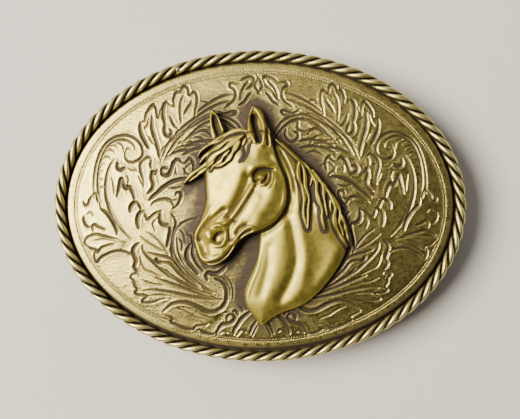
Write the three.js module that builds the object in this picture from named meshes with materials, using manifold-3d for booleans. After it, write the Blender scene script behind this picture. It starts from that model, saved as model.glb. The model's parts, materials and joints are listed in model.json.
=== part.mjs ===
// An oval western belt buckle, lying face up as it is laid down on a table.
//
// A stamped, domed face plate and a twisted three-strand rope border sit on a flat oval back plate.
// A cast horse-head emblem is riveted to the face. On the back, a loop swings in two lugs and takes
// the belt's fixed end, and a leaning prong takes a hole in its free end.
//
// Millimetres: x runs along the oval, y across it and z out of the face. The origin is under the
// middle of the oval, and z = 0 is the surface that the prong and the loop's far bar lie on.
import * as THREE from "three";
import { mergeVertices } from "three/addons/utils/BufferGeometryUtils.js";
import Module from "manifold-3d";

const wasm = await Module();
wasm.setup();

// ---- Driving dimensions -------------------------------------------------------------------------

const OVERALL_LENGTH = 94;
const OVERALL_WIDTH = 71.4;
const SEAT_GAP = 0.2; // left between faces that touch on the real buckle
const FIT_CLEARANCE = 0.2; // around a shank or a pivot in its hole
const OVAL_SEGMENTS = 72;
const ROUND_SEGMENTS = 16;

const ROPE_DIAMETER = 2.5;
const ROPE_STRANDS = 3;
const ROPE_TURNS = 25; // full turns that each strand makes round the rope
const STRAND_GAP = 0.12; // between neighbouring strands
const ROPE_JOINT_DEG = 114.4; // where the rope's two ends meet, on the oval's own angle
const ROPE_JOINT_LENGTH = 1.5;

const PLATE_THICKNESS = 1.6;
const PLATE_EDGE_INSET = 0.5; // how far the back plate stops short of the rope's outside
const PLATE_CHAMFER = 0.4;
const PANEL = { x: -12, length: 18, width: 11, height: 0.4, corner: 2 }; // blank, on the back

const CHANNEL_WIDTH = 0.6; // dark channel between the rope and the face plate
const FACE_RIM_HEIGHT = 2.15;
const FACE_EDGE_RADIUS = 0.5;
const DOME_RISE = 2.6;
const FACE_THICKNESS = 1.1;

const EMBLEM_BASE_RISE = 1.5; // thickness of the emblem at its outline
const EMBLEM_PLACE = { x: -0.05, y: 0.15 }; // where its drawing's origin goes
const EMBLEM_GRID = 1.4; // spacing of the emblem's height samples
const EMBLEM_STUD = { radius: 1.1, depth: 1.5, headRadius: 2, headHeight: 0.7 };
const EMBLEM_STUD_PLACES = { emblem_rivet_head: [2.2, 3.5], emblem_rivet_neck: [6, -11] };

const STRAP_WIDTH = 38;
const STRAP_CLEARANCE = 1; // each side of the strap inside the loop
const LOOP = { bar: 3, thickness: 2.6, chamfer: 0.5, reach: 19, corner: 4.5, eyeWall: 0.6 };
const LOOP_HEEL = { length: 3.6, gap: 0.3 }; // flat on each eye that stops the loop on the plate
const HINGE = { x: 16, pinRadius: 1.4, standoff: 1 }; // standoff is from the knuckle to the plate
const LUG = { width: 5, wall: 1.4, footThickness: 1.3, shoulder: 0.8, armGap: 0.5 };
const LUG_RIVETS = { count: 2, spacing: 5.3, shoulderGap: 0.5, endMargin: 1.2 };
const RIVET = { radius: 0.9, headRadius: 1.6, headHeight: 0.8, tailRadius: 1.5, tailHeight: 0.6 };

const HOOK_X = -29;
const HOOK_PAD = { halfLength: 4.6, halfWidth: 7.6, thickness: 1.2, chamfer: 0.3 };
const PAD_RIVET_Y = 5.3;
const PRONG = { height: 6.4, tenonRadius: 1.5, peenRadius: 2.4, peenHeight: 0.7 };

// ---- Levels and outlines that follow from them ---------------------------------------------------

const plateBack = PRONG.height + 2 * SEAT_GAP + HOOK_PAD.thickness;
const plateFront = plateBack + PLATE_THICKNESS;
const halfLength = OVERALL_LENGTH / 2;
const halfWidth = OVERALL_WIDTH / 2;
const ropeRadius = ROPE_DIAMETER / 2;
const ropeLine = { a: halfLength - ropeRadius, b: halfWidth - ropeRadius };
const ropeLevel = plateFront + SEAT_GAP + ropeRadius;
const plateEdge = { a: halfLength - PLATE_EDGE_INSET, b: halfWidth - PLATE_EDGE_INSET };
const faceInset = ROPE_DIAMETER + CHANNEL_WIDTH;
const faceEdge = { a: halfLength - faceInset, b: halfWidth - faceInset };
const faceBottom = plateFront + SEAT_GAP;
const faceRim = faceBottom + FACE_RIM_HEIGHT;
const bore = HINGE.pinRadius + FIT_CLEARANCE;
const knuckle = bore + LUG.wall;
const hingeDepth = knuckle + HINGE.standoff;
const hingeLevel = plateBack - hingeDepth;
const armCentre = STRAP_WIDTH / 2 + STRAP_CLEARANCE + LOOP.bar / 2;
const lugOuter = armCentre - LOOP.bar / 2 - LUG.armGap;
const footBack = plateBack - SEAT_GAP - LUG.footThickness;
const firstRivetX = HINGE.x - knuckle - LUG.shoulder - LUG_RIVETS.shoulderGap - RIVET.headRadius;
const lugRivetXs = Array.from({ length: LUG_RIVETS.count }, (_, i) => firstRivetX - i * LUG_RIVETS.spacing);
const footEnd = lugRivetXs.at(-1) - RIVET.headRadius - LUG_RIVETS.endMargin;
const padBack = plateBack - SEAT_GAP - HOOK_PAD.thickness;

// The loop leans back from the plate until the corner of its far bar comes down to z = 0.
const cornerReach = LOOP.reach + LOOP.bar / 2 - LOOP.chamfer;
const cornerRadius = Math.hypot(cornerReach, LOOP.thickness / 2);
const loopLean = Math.asin(hingeLevel / cornerRadius) - Math.atan2(LOOP.thickness / 2, cornerReach);

// Height of the face plate's upper surface over its middle oval, less the rounded edge.
function domeLevel(x, y) {
  const q = (x / faceEdge.a) ** 2 + (y / faceEdge.b) ** 2;
  return faceRim + DOME_RISE * (1 - Math.min(1, q));
}

// ---- Solids --------------------------------------------------------------------------------------

// A solid from a closed geometry, turned inside out where its faces point inwards.
function solidOf(geometry) {
  const bare = geometry.clone();
  bare.deleteAttribute("normal");
  bare.deleteAttribute("uv");
  const merged = mergeVertices(bare, 1e-4);
  const triVerts = new Uint32Array(merged.index.array);
  const vertProperties = new Float32Array(merged.attributes.position.array);
  const made = () => new wasm.Manifold(new wasm.Mesh({ numProp: 3, vertProperties, triVerts }));
  const solid = made();
  if (solid.volume() > 0) return solid;
  triVerts.reverse();
  return made();
}

function geometryOf(solid) {
  const mesh = solid.getMesh();
  const geometry = new THREE.BufferGeometry();
  geometry.setAttribute("position", new THREE.BufferAttribute(new Float32Array(mesh.vertProperties), 3));
  geometry.setIndex(new THREE.BufferAttribute(new Uint32Array(mesh.triVerts), 1));
  const flat = geometry.toNonIndexed();
  flat.computeVertexNormals();
  return flat;
}

const cut = (solid, ...tools) => tools.reduce((left, tool) => left.subtract(tool), solid);
const join = (solid, ...others) => others.reduce((whole, other) => whole.add(other), solid);

// A closed skin over rings of points, all of one count. Each end is closed by a fan to its middle.
function skinOf(rings) {
  const count = rings[0].length;
  const middle = (ring) => ring.reduce((sum, p) => sum.add(p), new THREE.Vector3()).divideScalar(count);
  const points = [middle(rings[0]), ...rings.flat(), middle(rings.at(-1))];
  const at = (ring, i) => 1 + ring * count + (i % count);
  const faces = [];
  for (let i = 0; i < count; i++) {
    faces.push(0, at(0, i + 1), at(0, i));
    faces.push(points.length - 1, at(rings.length - 1, i), at(rings.length - 1, i + 1));
    for (let r = 0; r + 1 < rings.length; r++) {
      faces.push(at(r, i), at(r, i + 1), at(r + 1, i + 1));
      faces.push(at(r, i), at(r + 1, i + 1), at(r + 1, i));
    }
  }
  const geometry = new THREE.BufferGeometry();
  const flat = points.flatMap((p) => [p.x, p.y, p.z]);
  geometry.setAttribute("position", new THREE.Float32BufferAttribute(flat, 3));
  geometry.setIndex(faces);
  return geometry;
}

// An oval solid from rings of { a, b, z }, listed so that the outside is on the right going up.
function ovalSolid(rings) {
  const oval = ({ a, b, z }) =>
    Array.from({ length: OVAL_SEGMENTS }, (_, i) => {
      const turn = (2 * Math.PI * i) / OVAL_SEGMENTS;
      return new THREE.Vector3(a * Math.cos(turn), b * Math.sin(turn), z);
    });
  return solidOf(skinOf(rings.map(oval)));
}

// A round solid about an upright axis at x, y, from a profile of [radius, z] that runs up its outside.
function turned(profile, x, y, segments = ROUND_SEGMENTS) {
  const outline = profile.map(([radius, z]) => new THREE.Vector2(radius, z));
  const geometry = new THREE.LatheGeometry(outline, segments);
  return solidOf(geometry.rotateX(Math.PI / 2).translate(x, y, 0));
}

const rod = (radius, low, high, x, y) => turned([[0, low], [radius, low], [radius, high], [0, high]], x, y);

// A round bar across the buckle, along y.
function crossRod(radius, from, to, x, z) {
  const geometry = new THREE.CylinderGeometry(radius, radius, to - from, ROUND_SEGMENTS);
  return solidOf(geometry.translate(x, (from + to) / 2, z));
}

function extruded(shape, low, high) {
  const geometry = new THREE.ExtrudeGeometry(shape, {
    depth: high - low,
    bevelEnabled: false,
    curveSegments: 6,
  });
  return solidOf(geometry.translate(0, 0, low));
}

// ---- Back plate ----------------------------------------------------------------------------------

function panelShape() {
  const { corner } = PANEL;
  const [x, y] = [PANEL.length / 2 - corner, PANEL.width / 2 - corner];
  const shape = new THREE.Shape();
  shape.moveTo(PANEL.x + x, -y - corner);
  shape.absarc(PANEL.x + x, -y, corner, -Math.PI / 2, 0);
  shape.absarc(PANEL.x + x, y, corner, 0, Math.PI / 2);
  shape.absarc(PANEL.x - x, y, corner, Math.PI / 2, Math.PI);
  shape.absarc(PANEL.x - x, -y, corner, Math.PI, 1.5 * Math.PI);
  return shape;
}

const lugMiddle = lugOuter - LUG.width / 2;
const hole = (radius, x, y) => rod(radius + FIT_CLEARANCE, -1, 2 * faceRim, x, y);

function backPlate() {
  const { a, b } = plateEdge;
  const body = ovalSolid([
    { a: a - PLATE_CHAMFER, b: b - PLATE_CHAMFER, z: plateBack },
    { a, b, z: plateBack + PLATE_CHAMFER },
    { a, b, z: plateFront },
  ]);
  const panel = extruded(panelShape(), plateBack - PANEL.height, plateBack + PLATE_THICKNESS / 2);
  const holes = [
    ...Object.values(EMBLEM_STUD_PLACES).map(([x, y]) => hole(EMBLEM_STUD.radius, x, y)),
    ...lugRivetXs.flatMap((x) => [-lugMiddle, lugMiddle].map((y) => hole(RIVET.radius, x, y))),
    ...[-PAD_RIVET_Y, PAD_RIVET_Y].map((y) => hole(RIVET.radius, HOOK_X, y)),
    hole(PRONG.tenonRadius, HOOK_X, 0),
  ];
  return cut(join(body, panel), ...holes);
}

// ---- Face plate: a domed shell whose rim turns down onto the back plate ----------------------------

const DOME_STEPS = [1, 0.86, 0.7, 0.52, 0.34, 0.16];

function domeRings(edge, lift) {
  return DOME_STEPS.map((share) => ({
    a: edge.a * share,
    b: edge.b * share,
    z: domeLevel(edge.a * share, 0) + lift,
  }));
}

function facePlate() {
  const inset = (distance) => ({ a: faceEdge.a - distance, b: faceEdge.b - distance });
  const shoulder = FACE_EDGE_RADIUS * (1 - Math.SQRT1_2);
  const top = inset(FACE_EDGE_RADIUS);
  const outside = ovalSolid([
    { ...faceEdge, z: faceBottom },
    { ...faceEdge, z: faceRim - FACE_EDGE_RADIUS },
    { ...inset(shoulder), z: faceRim - shoulder },
    ...domeRings(top, 0),
  ]);
  const inside = ovalSolid([
    { ...inset(FACE_THICKNESS), z: faceBottom - 1 },
    ...domeRings(inset(FACE_THICKNESS), -FACE_THICKNESS),
  ]);
  const studs = Object.values(EMBLEM_STUD_PLACES).map(([x, y]) => hole(EMBLEM_STUD.radius, x, y));
  return cut(outside, inside, ...studs);
}

// ---- Rope border: three strands twisted together, their ends meeting at a soldered joint -----------

// Points evenly spaced along the rope's oval centre line, starting at the joint.
class RopeLine {
  constructor({ a, b }, start) {
    const fine = 1440;
    this.at = (turn) => new THREE.Vector3(a * Math.cos(turn), b * Math.sin(turn), ropeLevel);
    this.turns = Array.from({ length: fine + 1 }, (_, i) => start + (2 * Math.PI * i) / fine);
    this.lengths = [0];
    for (let i = 1; i <= fine; i++) {
      const step = this.at(this.turns[i]).distanceTo(this.at(this.turns[i - 1]));
      this.lengths.push(this.lengths[i - 1] + step);
    }
    this.length = this.lengths[fine];
    this.normalAt = (turn) => new THREE.Vector3(Math.cos(turn) / a, Math.sin(turn) / b, 0).normalize();
  }
  turnAt(distance) {
    const i = Math.max(1, this.lengths.findIndex((length) => length >= distance));
    const share = (distance - this.lengths[i - 1]) / (this.lengths[i] - this.lengths[i - 1]);
    return this.turns[i - 1] + share * (this.turns[i] - this.turns[i - 1]);
  }
}

const ropeCurve = new RopeLine(ropeLine, THREE.MathUtils.degToRad(ROPE_JOINT_DEG));

// Three strands of the rope's outer radius that clear each other, each strand a run of straight steps
// whose middles lie closer to the rope's axis than their ends.
const STRAND_STEPS_PER_TURN = 6;
const spread = Math.sqrt(3) * Math.cos(Math.PI / STRAND_STEPS_PER_TURN);
const strandRadius = (ropeRadius * spread - STRAND_GAP) / (2 + spread);
const strandOrbit = ropeRadius - strandRadius;

// A left-hand lay: the strands turn anticlockwise as they run away from the eye.
function ropeStrand(number) {
  const sides = 6;
  const steps = ROPE_TURNS * STRAND_STEPS_PER_TURN;
  const first = ROPE_JOINT_LENGTH / 2 + SEAT_GAP;
  const run = ropeCurve.length - 2 * first;
  const up = new THREE.Vector3(0, 0, 1);
  const centre = (s) => {
    const turn = ropeCurve.turnAt(s);
    const twist = (2 * Math.PI * number) / ROPE_STRANDS + (2 * Math.PI * ROPE_TURNS * s) / ropeCurve.length;
    const out = ropeCurve.normalAt(turn);
    return ropeCurve.at(turn)
      .addScaledVector(out, strandOrbit * Math.cos(twist))
      .addScaledVector(up, strandOrbit * Math.sin(twist));
  };
  const ringAt = (s) => {
    const along = centre(s + 0.05).sub(centre(s - 0.05)).normalize();
    const side = new THREE.Vector3().crossVectors(along, up).normalize();
    const rise = new THREE.Vector3().crossVectors(side, along);
    return Array.from({ length: sides }, (_, i) => {
      const turn = (2 * Math.PI * i) / sides;
      return centre(s)
        .addScaledVector(side, strandRadius * Math.cos(turn))
        .addScaledVector(rise, strandRadius * Math.sin(turn));
    });
  };
  const rings = Array.from({ length: steps + 1 }, (_, i) => ringAt(first + (run * i) / steps));
  return solidOf(skinOf(rings));
}

// The bead of solder between the rope's ends.
function ropeJoint() {
  const bead = new THREE.SphereGeometry(1, ROUND_SEGMENTS, 8);
  bead.scale(ROPE_JOINT_LENGTH / 2, ropeRadius * 0.85, ropeRadius * 0.85);
  const turn = THREE.MathUtils.degToRad(ROPE_JOINT_DEG);
  const out = ropeCurve.normalAt(turn);
  bead.rotateZ(Math.atan2(out.y, out.x) - Math.PI / 2);
  const place = ropeCurve.at(turn);
  return solidOf(bead.translate(place.x, place.y, place.z));
}

// ---- Horse-head emblem: a relief whose underside follows the dome ----------------------------------

// A point of the emblem's drawing, in its place on the buckle.
const onBuckle = ([x, y]) => [x + EMBLEM_PLACE.x, y + EMBLEM_PLACE.y];

// The emblem's outline, from the tip of the near ear down the mane, round the neck and up the face.
const EMBLEM_OUTLINE = [
  [-1.7, 22.6], [-0.5, 21.6], [0.5, 20.2], [1.2, 18.8], [2.1, 17.6], [2.5, 15.8],
  [3.7, 15.5], [5.2, 14.4], [6.7, 12.9], [8.5, 11.3], [9.8, 10.1], [11.3, 9.3],
  [12.6, 7.7], [13.8, 6.1], [15.1, 4.7], [16.5, 2.7], [17.8, 0.9], [18.8, -1.4],
  [19.3, -3.4], [20.1, -5], [20.8, -7], [21, -9.4], [20.1, -9.6], [19.3, -9.9],
  [18.9, -11.2], [17.6, -14.1], [16, -16.5], [13.5, -19.5], [11, -21.7], [8.6, -23.1],
  [5.6, -24.1], [3.2, -25.3], [1.6, -26.5], [0.3, -27.3], [-0.9, -26.1], [-2.3, -24.2],
  [-3.4, -22.4], [-3.9, -20.6], [-3.6, -18.8], [-2.7, -16.6], [-1.7, -14.4], [-0.9, -12],
  [-0.4, -9.6], [-0.3, -7.2], [-1, -6.2], [-2.7, -6.9], [-4.3, -8], [-5.7, -9.5],
  [-6.7, -11], [-7.9, -12.4], [-9.5, -13.4], [-11.4, -13.7], [-12.7, -13], [-13.6, -12],
  [-14.4, -10.4], [-15, -8.6], [-15.1, -6.6], [-14.6, -5], [-13.6, -3.2], [-12.8, -1.6],
  [-12.3, 0.2], [-12.3, 2.4], [-12.6, 4.6], [-12.8, 6.6], [-13.8, 7], [-15.5, 5.8],
  [-17.3, 4.3], [-16.3, 6.5], [-14.8, 8.1], [-14.5, 10.1], [-13.1, 11.9], [-11.3, 13.3],
  [-10.8, 15], [-11.5, 18.2], [-11.5, 21.5], [-10.5, 21.3], [-9.3, 18.9], [-8.1, 16.4],
  [-6.6, 16.3], [-4.4, 16.9], [-3.1, 16.5], [-3.2, 17.7], [-2.8, 19.7], [-2.1, 21.5],
].map(onBuckle);

// Rounded ridges that swell the emblem over its base: from one end to the other, radius and rise.
const EMBLEM_SWELLS = [
  { name: "forehead and nose", from: [-4.5, 9], to: [-9.5, -3], radius: 7.5, rise: 2.6 },
  { name: "muzzle", from: [-10.5, -6], to: [-10.5, -9], radius: 5.5, rise: 2.6 },
  { name: "cheek", from: [0, 4.5], to: [0.5, 1], radius: 7, rise: 3.4 },
  { name: "front of the neck", from: [3, -4], to: [1.5, -21], radius: 6, rise: 2.4 },
  { name: "back of the neck", from: [7, 6], to: [9, -15], radius: 9, rise: 2.6 },
  { name: "near ear", from: [0, 13], to: [-1, 20], radius: 3, rise: 2 },
  { name: "forelock", from: [-3, 14.5], to: [-12, 10], radius: 3.5, rise: 1.8 },
  { name: "mane", from: [8, 9], to: [17, -5], radius: 4.5, rise: 1.4 },
].map(({ from, to, ...ridge }) => ({ ...ridge, from: onBuckle(from), to: onBuckle(to) }));

function swell({ from, to, radius, rise }, x, y) {
  const [dx, dy] = [to[0] - from[0], to[1] - from[1]];
  const along = ((x - from[0]) * dx + (y - from[1]) * dy) / (dx * dx + dy * dy);
  const t = Math.min(1, Math.max(0, along));
  const distance = Math.hypot(x - from[0] - t * dx, y - from[1] - t * dy) / radius;
  return rise * Math.sqrt(Math.max(0, 1 - distance * distance));
}

function emblemLevel(x, y) {
  const swells = EMBLEM_SWELLS.map((ridge) => swell(ridge, x, y));
  return domeLevel(x, y) + SEAT_GAP + EMBLEM_BASE_RISE + Math.max(0, ...swells);
}

// A block between two height functions, over a grid that covers the emblem's outline.
function reliefBlock(low, high) {
  const [xs, ys] = [0, 1].map((axis) => EMBLEM_OUTLINE.map((point) => point[axis]));
  const lines = (values) => {
    const [start, end] = [Math.min(...values) - EMBLEM_GRID, Math.max(...values) + EMBLEM_GRID];
    const count = Math.ceil((end - start) / EMBLEM_GRID);
    return Array.from({ length: count + 1 }, (_, i) => start + ((end - start) * i) / count);
  };
  const [columns, rows] = [lines(xs), lines(ys)];
  const grid = (level) => columns.map((x) => rows.map((y) => new THREE.Vector3(x, y, level(x, y))));
  const [top, bottom] = [grid(high), grid(low)];
  const points = [];
  const quad = (p, q, r, s) => [p, q, r, p, r, s].forEach((v) => points.push(v.x, v.y, v.z));
  const [m, n] = [columns.length - 1, rows.length - 1];
  for (let i = 0; i < m; i++) {
    for (let j = 0; j < n; j++) {
      quad(top[i][j], top[i + 1][j], top[i + 1][j + 1], top[i][j + 1]);
      quad(bottom[i][j], bottom[i][j + 1], bottom[i + 1][j + 1], bottom[i + 1][j]);
    }
    quad(bottom[i][0], bottom[i + 1][0], top[i + 1][0], top[i][0]);
    quad(bottom[i + 1][n], bottom[i][n], top[i][n], top[i + 1][n]);
  }
  for (let j = 0; j < n; j++) {
    quad(bottom[0][j + 1], bottom[0][j], top[0][j], top[0][j + 1]);
    quad(bottom[m][j], bottom[m][j + 1], top[m][j + 1], top[m][j]);
  }
  const geometry = new THREE.BufferGeometry();
  geometry.setAttribute("position", new THREE.Float32BufferAttribute(points, 3));
  return solidOf(geometry);
}

function horseHead() {
  const shape = new THREE.Shape(EMBLEM_OUTLINE.map(([x, y]) => new THREE.Vector2(x, y)));
  const relief = reliefBlock((x, y) => domeLevel(x, y) + SEAT_GAP, emblemLevel);
  const cutter = extruded(shape, 0, 3 * faceRim);
  const studHoles = Object.values(EMBLEM_STUD_PLACES).map(([x, y]) =>
    rod(EMBLEM_STUD.radius + FIT_CLEARANCE, 0, studTop(x, y) + FIT_CLEARANCE, x, y),
  );
  return cut(relief.intersect(cutter), ...studHoles);
}

// ---- Rivets --------------------------------------------------------------------------------------

const studTop = (x, y) => domeLevel(x, y) + SEAT_GAP + EMBLEM_STUD.depth;

// A stud that holds the emblem, peened over on the back plate.
function emblemRivet([x, y]) {
  const { radius, headRadius, headHeight } = EMBLEM_STUD;
  const base = plateBack - SEAT_GAP;
  return turned(
    [
      [0, base - headHeight],
      [headRadius * 0.6, base - headHeight * 0.85],
      [headRadius, base - headHeight * 0.3],
      [headRadius, base],
      [radius, base],
      [radius, studTop(x, y)],
      [0, studTop(x, y)],
    ],
    x,
    y,
  );
}

// A rivet through a fitting and the back plate, with its domed head on the back of the fitting.
function rivet(x, y, fittingBack) {
  const { radius, headRadius, headHeight, tailRadius, tailHeight } = RIVET;
  const head = fittingBack - SEAT_GAP;
  const tail = plateFront + SEAT_GAP;
  return turned(
    [
      [0, head - headHeight],
      [headRadius * 0.6, head - headHeight * 0.85],
      [headRadius, head - headHeight * 0.25],
      [headRadius, head],
      [radius, head],
      [radius, tail],
      [tailRadius, tail],
      [tailRadius, tail + tailHeight],
      [0, tail + tailHeight],
    ],
    x,
    y,
  );
}

// ---- Belt loop and its lugs ------------------------------------------------------------------------

// The loop's frame: a flat-sided bar bent round from one eye to the other, leaning by loopLean.
function loopFrame() {
  const { bar, thickness, chamfer, reach, corner } = LOOP;
  const [w, t] = [bar / 2, thickness / 2];
  const section = [
    [-w, chamfer - t], [chamfer - w, -t], [w - chamfer, -t], [w, chamfer - t],
    [w, t - chamfer], [w - chamfer, t], [chamfer - w, t], [-w, t - chamfer],
  ];
  const bendSteps = 5;
  const bendCentre = { x: reach - corner, y: armCentre - corner };
  const bend = Array.from({ length: bendSteps + 1 }, (_, i) => (i / bendSteps) * (Math.PI / 2));
  const stations = [
    { turn: -Math.PI / 2, x: 0, y: -bendCentre.y },
    ...bend.map((turn) => ({ turn: turn - Math.PI / 2, x: bendCentre.x, y: -bendCentre.y })),
    ...bend.map((turn) => ({ turn, x: bendCentre.x, y: bendCentre.y })),
    { turn: Math.PI / 2, x: 0, y: bendCentre.y },
  ];
  const rings = stations.map(({ turn, x, y }) =>
    section.map(([out, up]) => {
      const radius = corner + out;
      return new THREE.Vector3(x + radius * Math.cos(turn), y + radius * Math.sin(turn), up);
    }),
  );
  return solidOf(skinOf(rings).rotateY(loopLean).translate(HINGE.x, 0, hingeLevel));
}

// An eye round the end of an arm, with the heel that meets the plate and stops the loop.
function loopEye(from, to) {
  const heelHeight = hingeDepth - LOOP_HEEL.gap;
  const heel = new THREE.BoxGeometry(LOOP_HEEL.length, to - from, heelHeight);
  heel.translate(HINGE.x + LOOP_HEEL.length / 2, (from + to) / 2, hingeLevel + heelHeight / 2);
  const eyeRadius = HINGE.pinRadius + LOOP.eyeWall;
  return join(crossRod(eyeRadius, from, to, HINGE.x, hingeLevel), solidOf(heel));
}

function beltLoop() {
  const [inner, outer] = [armCentre - LOOP.bar / 2, armCentre + LOOP.bar / 2];
  const pinEnd = lugOuter - LUG.width - LUG.armGap;
  const { pinRadius, x } = HINGE;
  return join(
    loopFrame(),
    loopEye(inner, outer),
    loopEye(-outer, -inner),
    crossRod(pinRadius, pinEnd, armCentre, x, hingeLevel),
    crossRod(pinRadius, -armCentre, -pinEnd, x, hingeLevel),
  );
}

// A lug: a riveted foot that rises into the knuckle round the loop's pivot.
function lug(side) {
  const front = plateBack - SEAT_GAP;
  const bevel = LUG.footThickness * 0.4;
  const shape = new THREE.Shape();
  shape.moveTo(footEnd, front);
  shape.lineTo(footEnd, footBack + bevel);
  shape.lineTo(footEnd + bevel, footBack);
  shape.lineTo(HINGE.x - knuckle - LUG.shoulder, footBack);
  shape.lineTo(HINGE.x - knuckle, footBack - LUG.shoulder);
  shape.absarc(HINGE.x, hingeLevel, knuckle, Math.PI, 2 * Math.PI);
  shape.lineTo(HINGE.x + knuckle, front);
  const pivot = new THREE.Path();
  pivot.absarc(HINGE.x, hingeLevel, bore, 0, 2 * Math.PI, true);
  shape.holes.push(pivot);
  const geometry = new THREE.ExtrudeGeometry(shape, {
    depth: LUG.width,
    bevelEnabled: false,
    curveSegments: 8,
  });
  geometry.rotateX(Math.PI / 2).translate(0, side * lugMiddle + LUG.width / 2, 0);
  const rivetHoles = lugRivetXs.map((x) => hole(RIVET.radius, x, side * lugMiddle));
  return cut(solidOf(geometry), ...rivetHoles);
}

// ---- Hook ----------------------------------------------------------------------------------------

function hookPad() {
  const { halfLength: a, halfWidth: b, chamfer } = HOOK_PAD;
  const front = plateBack - SEAT_GAP;
  const body = ovalSolid([
    { a: a - chamfer, b: b - chamfer, z: padBack },
    { a, b, z: padBack + chamfer },
    { a, b, z: front },
  ]).translate([HOOK_X, 0, 0]);
  const rivets = [-PAD_RIVET_Y, PAD_RIVET_Y].map((y) => hole(RIVET.radius, HOOK_X, y));
  return cut(body, hole(PRONG.tenonRadius, HOOK_X, 0), ...rivets);
}

// The prong's centre line behind its pad, as [lean towards the loop, height, radius]. It leans over
// so that a strap under tension stays on it, and ends in a rounded bulb that touches z = 0.
const PRONG_LINE = [
  [0, 0, 2.3], [-0.1, 0.7, 1.95], [-0.1, 1.6, 1.75], [0.1, 2.5, 1.65], [0.6, 3.4, 1.65],
  [1.3, 4.15, 1.8], [2.1, 4.6, 1.78], [2.8, 4.85, 1.5], [3.4, 5, 1], [3.75, 5.05, 0.4],
];

function hookProng() {
  const seat = padBack - SEAT_GAP;
  const placeOf = ([lean, height]) => new THREE.Vector3(HOOK_X + lean, 0, seat - height);
  const side = new THREE.Vector3(0, 1, 0);
  const rings = PRONG_LINE.map(([, , radius], i) => {
    const before = placeOf(PRONG_LINE[Math.max(0, i - 1)]);
    const after = placeOf(PRONG_LINE[Math.min(PRONG_LINE.length - 1, i + 1)]);
    const along = i === 0 ? new THREE.Vector3(0, 0, -1) : after.sub(before).normalize();
    const across = new THREE.Vector3().crossVectors(side, along);
    return Array.from({ length: ROUND_SEGMENTS }, (_, k) => {
      const turn = (2 * Math.PI * k) / ROUND_SEGMENTS;
      return placeOf(PRONG_LINE[i])
        .addScaledVector(across, radius * Math.cos(turn))
        .addScaledVector(side, radius * Math.sin(turn));
    });
  });
  const horn = solidOf(skinOf(rings));
  const peen = plateFront + SEAT_GAP;
  const tenon = turned(
    [
      [0, seat - 0.4],
      [PRONG.tenonRadius, seat - 0.4],
      [PRONG.tenonRadius, peen],
      [PRONG.peenRadius, peen],
      [PRONG.peenRadius * 0.8, peen + PRONG.peenHeight],
      [0, peen + PRONG.peenHeight],
    ],
    HOOK_X,
    0,
  );
  return join(horn, tenon);
}

// ---- Assembly --------------------------------------------------------------------------------------

const finishes = {
  antiqueBrass: { color: 0xb09a5c, roughness: 0.38, metalness: 1 },
  polishedBrass: { color: 0xd8c684, roughness: 0.26, metalness: 1 },
  darkBrass: { color: 0x5d4c33, roughness: 0.6, metalness: 1 },
  steel: { color: 0x9c9484, roughness: 0.35, metalness: 1 },
};

const buckle = new THREE.Group();
function place(name, solid, finish) {
  const mesh = new THREE.Mesh(geometryOf(solid), new THREE.MeshStandardMaterial(finishes[finish]));
  mesh.name = name;
  buckle.add(mesh);
}

place("back_plate", backPlate(), "darkBrass");
place("face_plate", facePlate(), "antiqueBrass");
for (let i = 0; i < ROPE_STRANDS; i++) place(`rope_strand_${i + 1}`, ropeStrand(i), "polishedBrass");
place("rope_joint", ropeJoint(), "polishedBrass");
place("horse_head", horseHead(), "polishedBrass");
for (const [name, at] of Object.entries(EMBLEM_STUD_PLACES)) place(name, emblemRivet(at), "antiqueBrass");

place("belt_loop", beltLoop(), "steel");
for (const [end, side] of [["lower", -1], ["upper", 1]]) {
  place(`loop_lug_${end}`, lug(side), "antiqueBrass");
  lugRivetXs.forEach((x, i) =>
    place(`loop_lug_${end}_rivet_${i + 1}`, rivet(x, side * lugMiddle, footBack), "antiqueBrass"),
  );
  place(`hook_pad_rivet_${end}`, rivet(HOOK_X, side * PAD_RIVET_Y, padBack), "antiqueBrass");
}
place("hook_pad", hookPad(), "antiqueBrass");
place("hook_prong", hookProng(), "polishedBrass");

export default buckle;
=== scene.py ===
"""An oval western belt buckle in antique brass, lying face up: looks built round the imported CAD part.

Lengths in this script are millimetres until a mesh is made. x runs along the oval, y across it and z
out of the face, as in the CAD part.
"""

import json
import math

import bmesh
import bpy
import numpy as np
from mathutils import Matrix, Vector
from mathutils.geometry import tessellate_polygon

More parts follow.
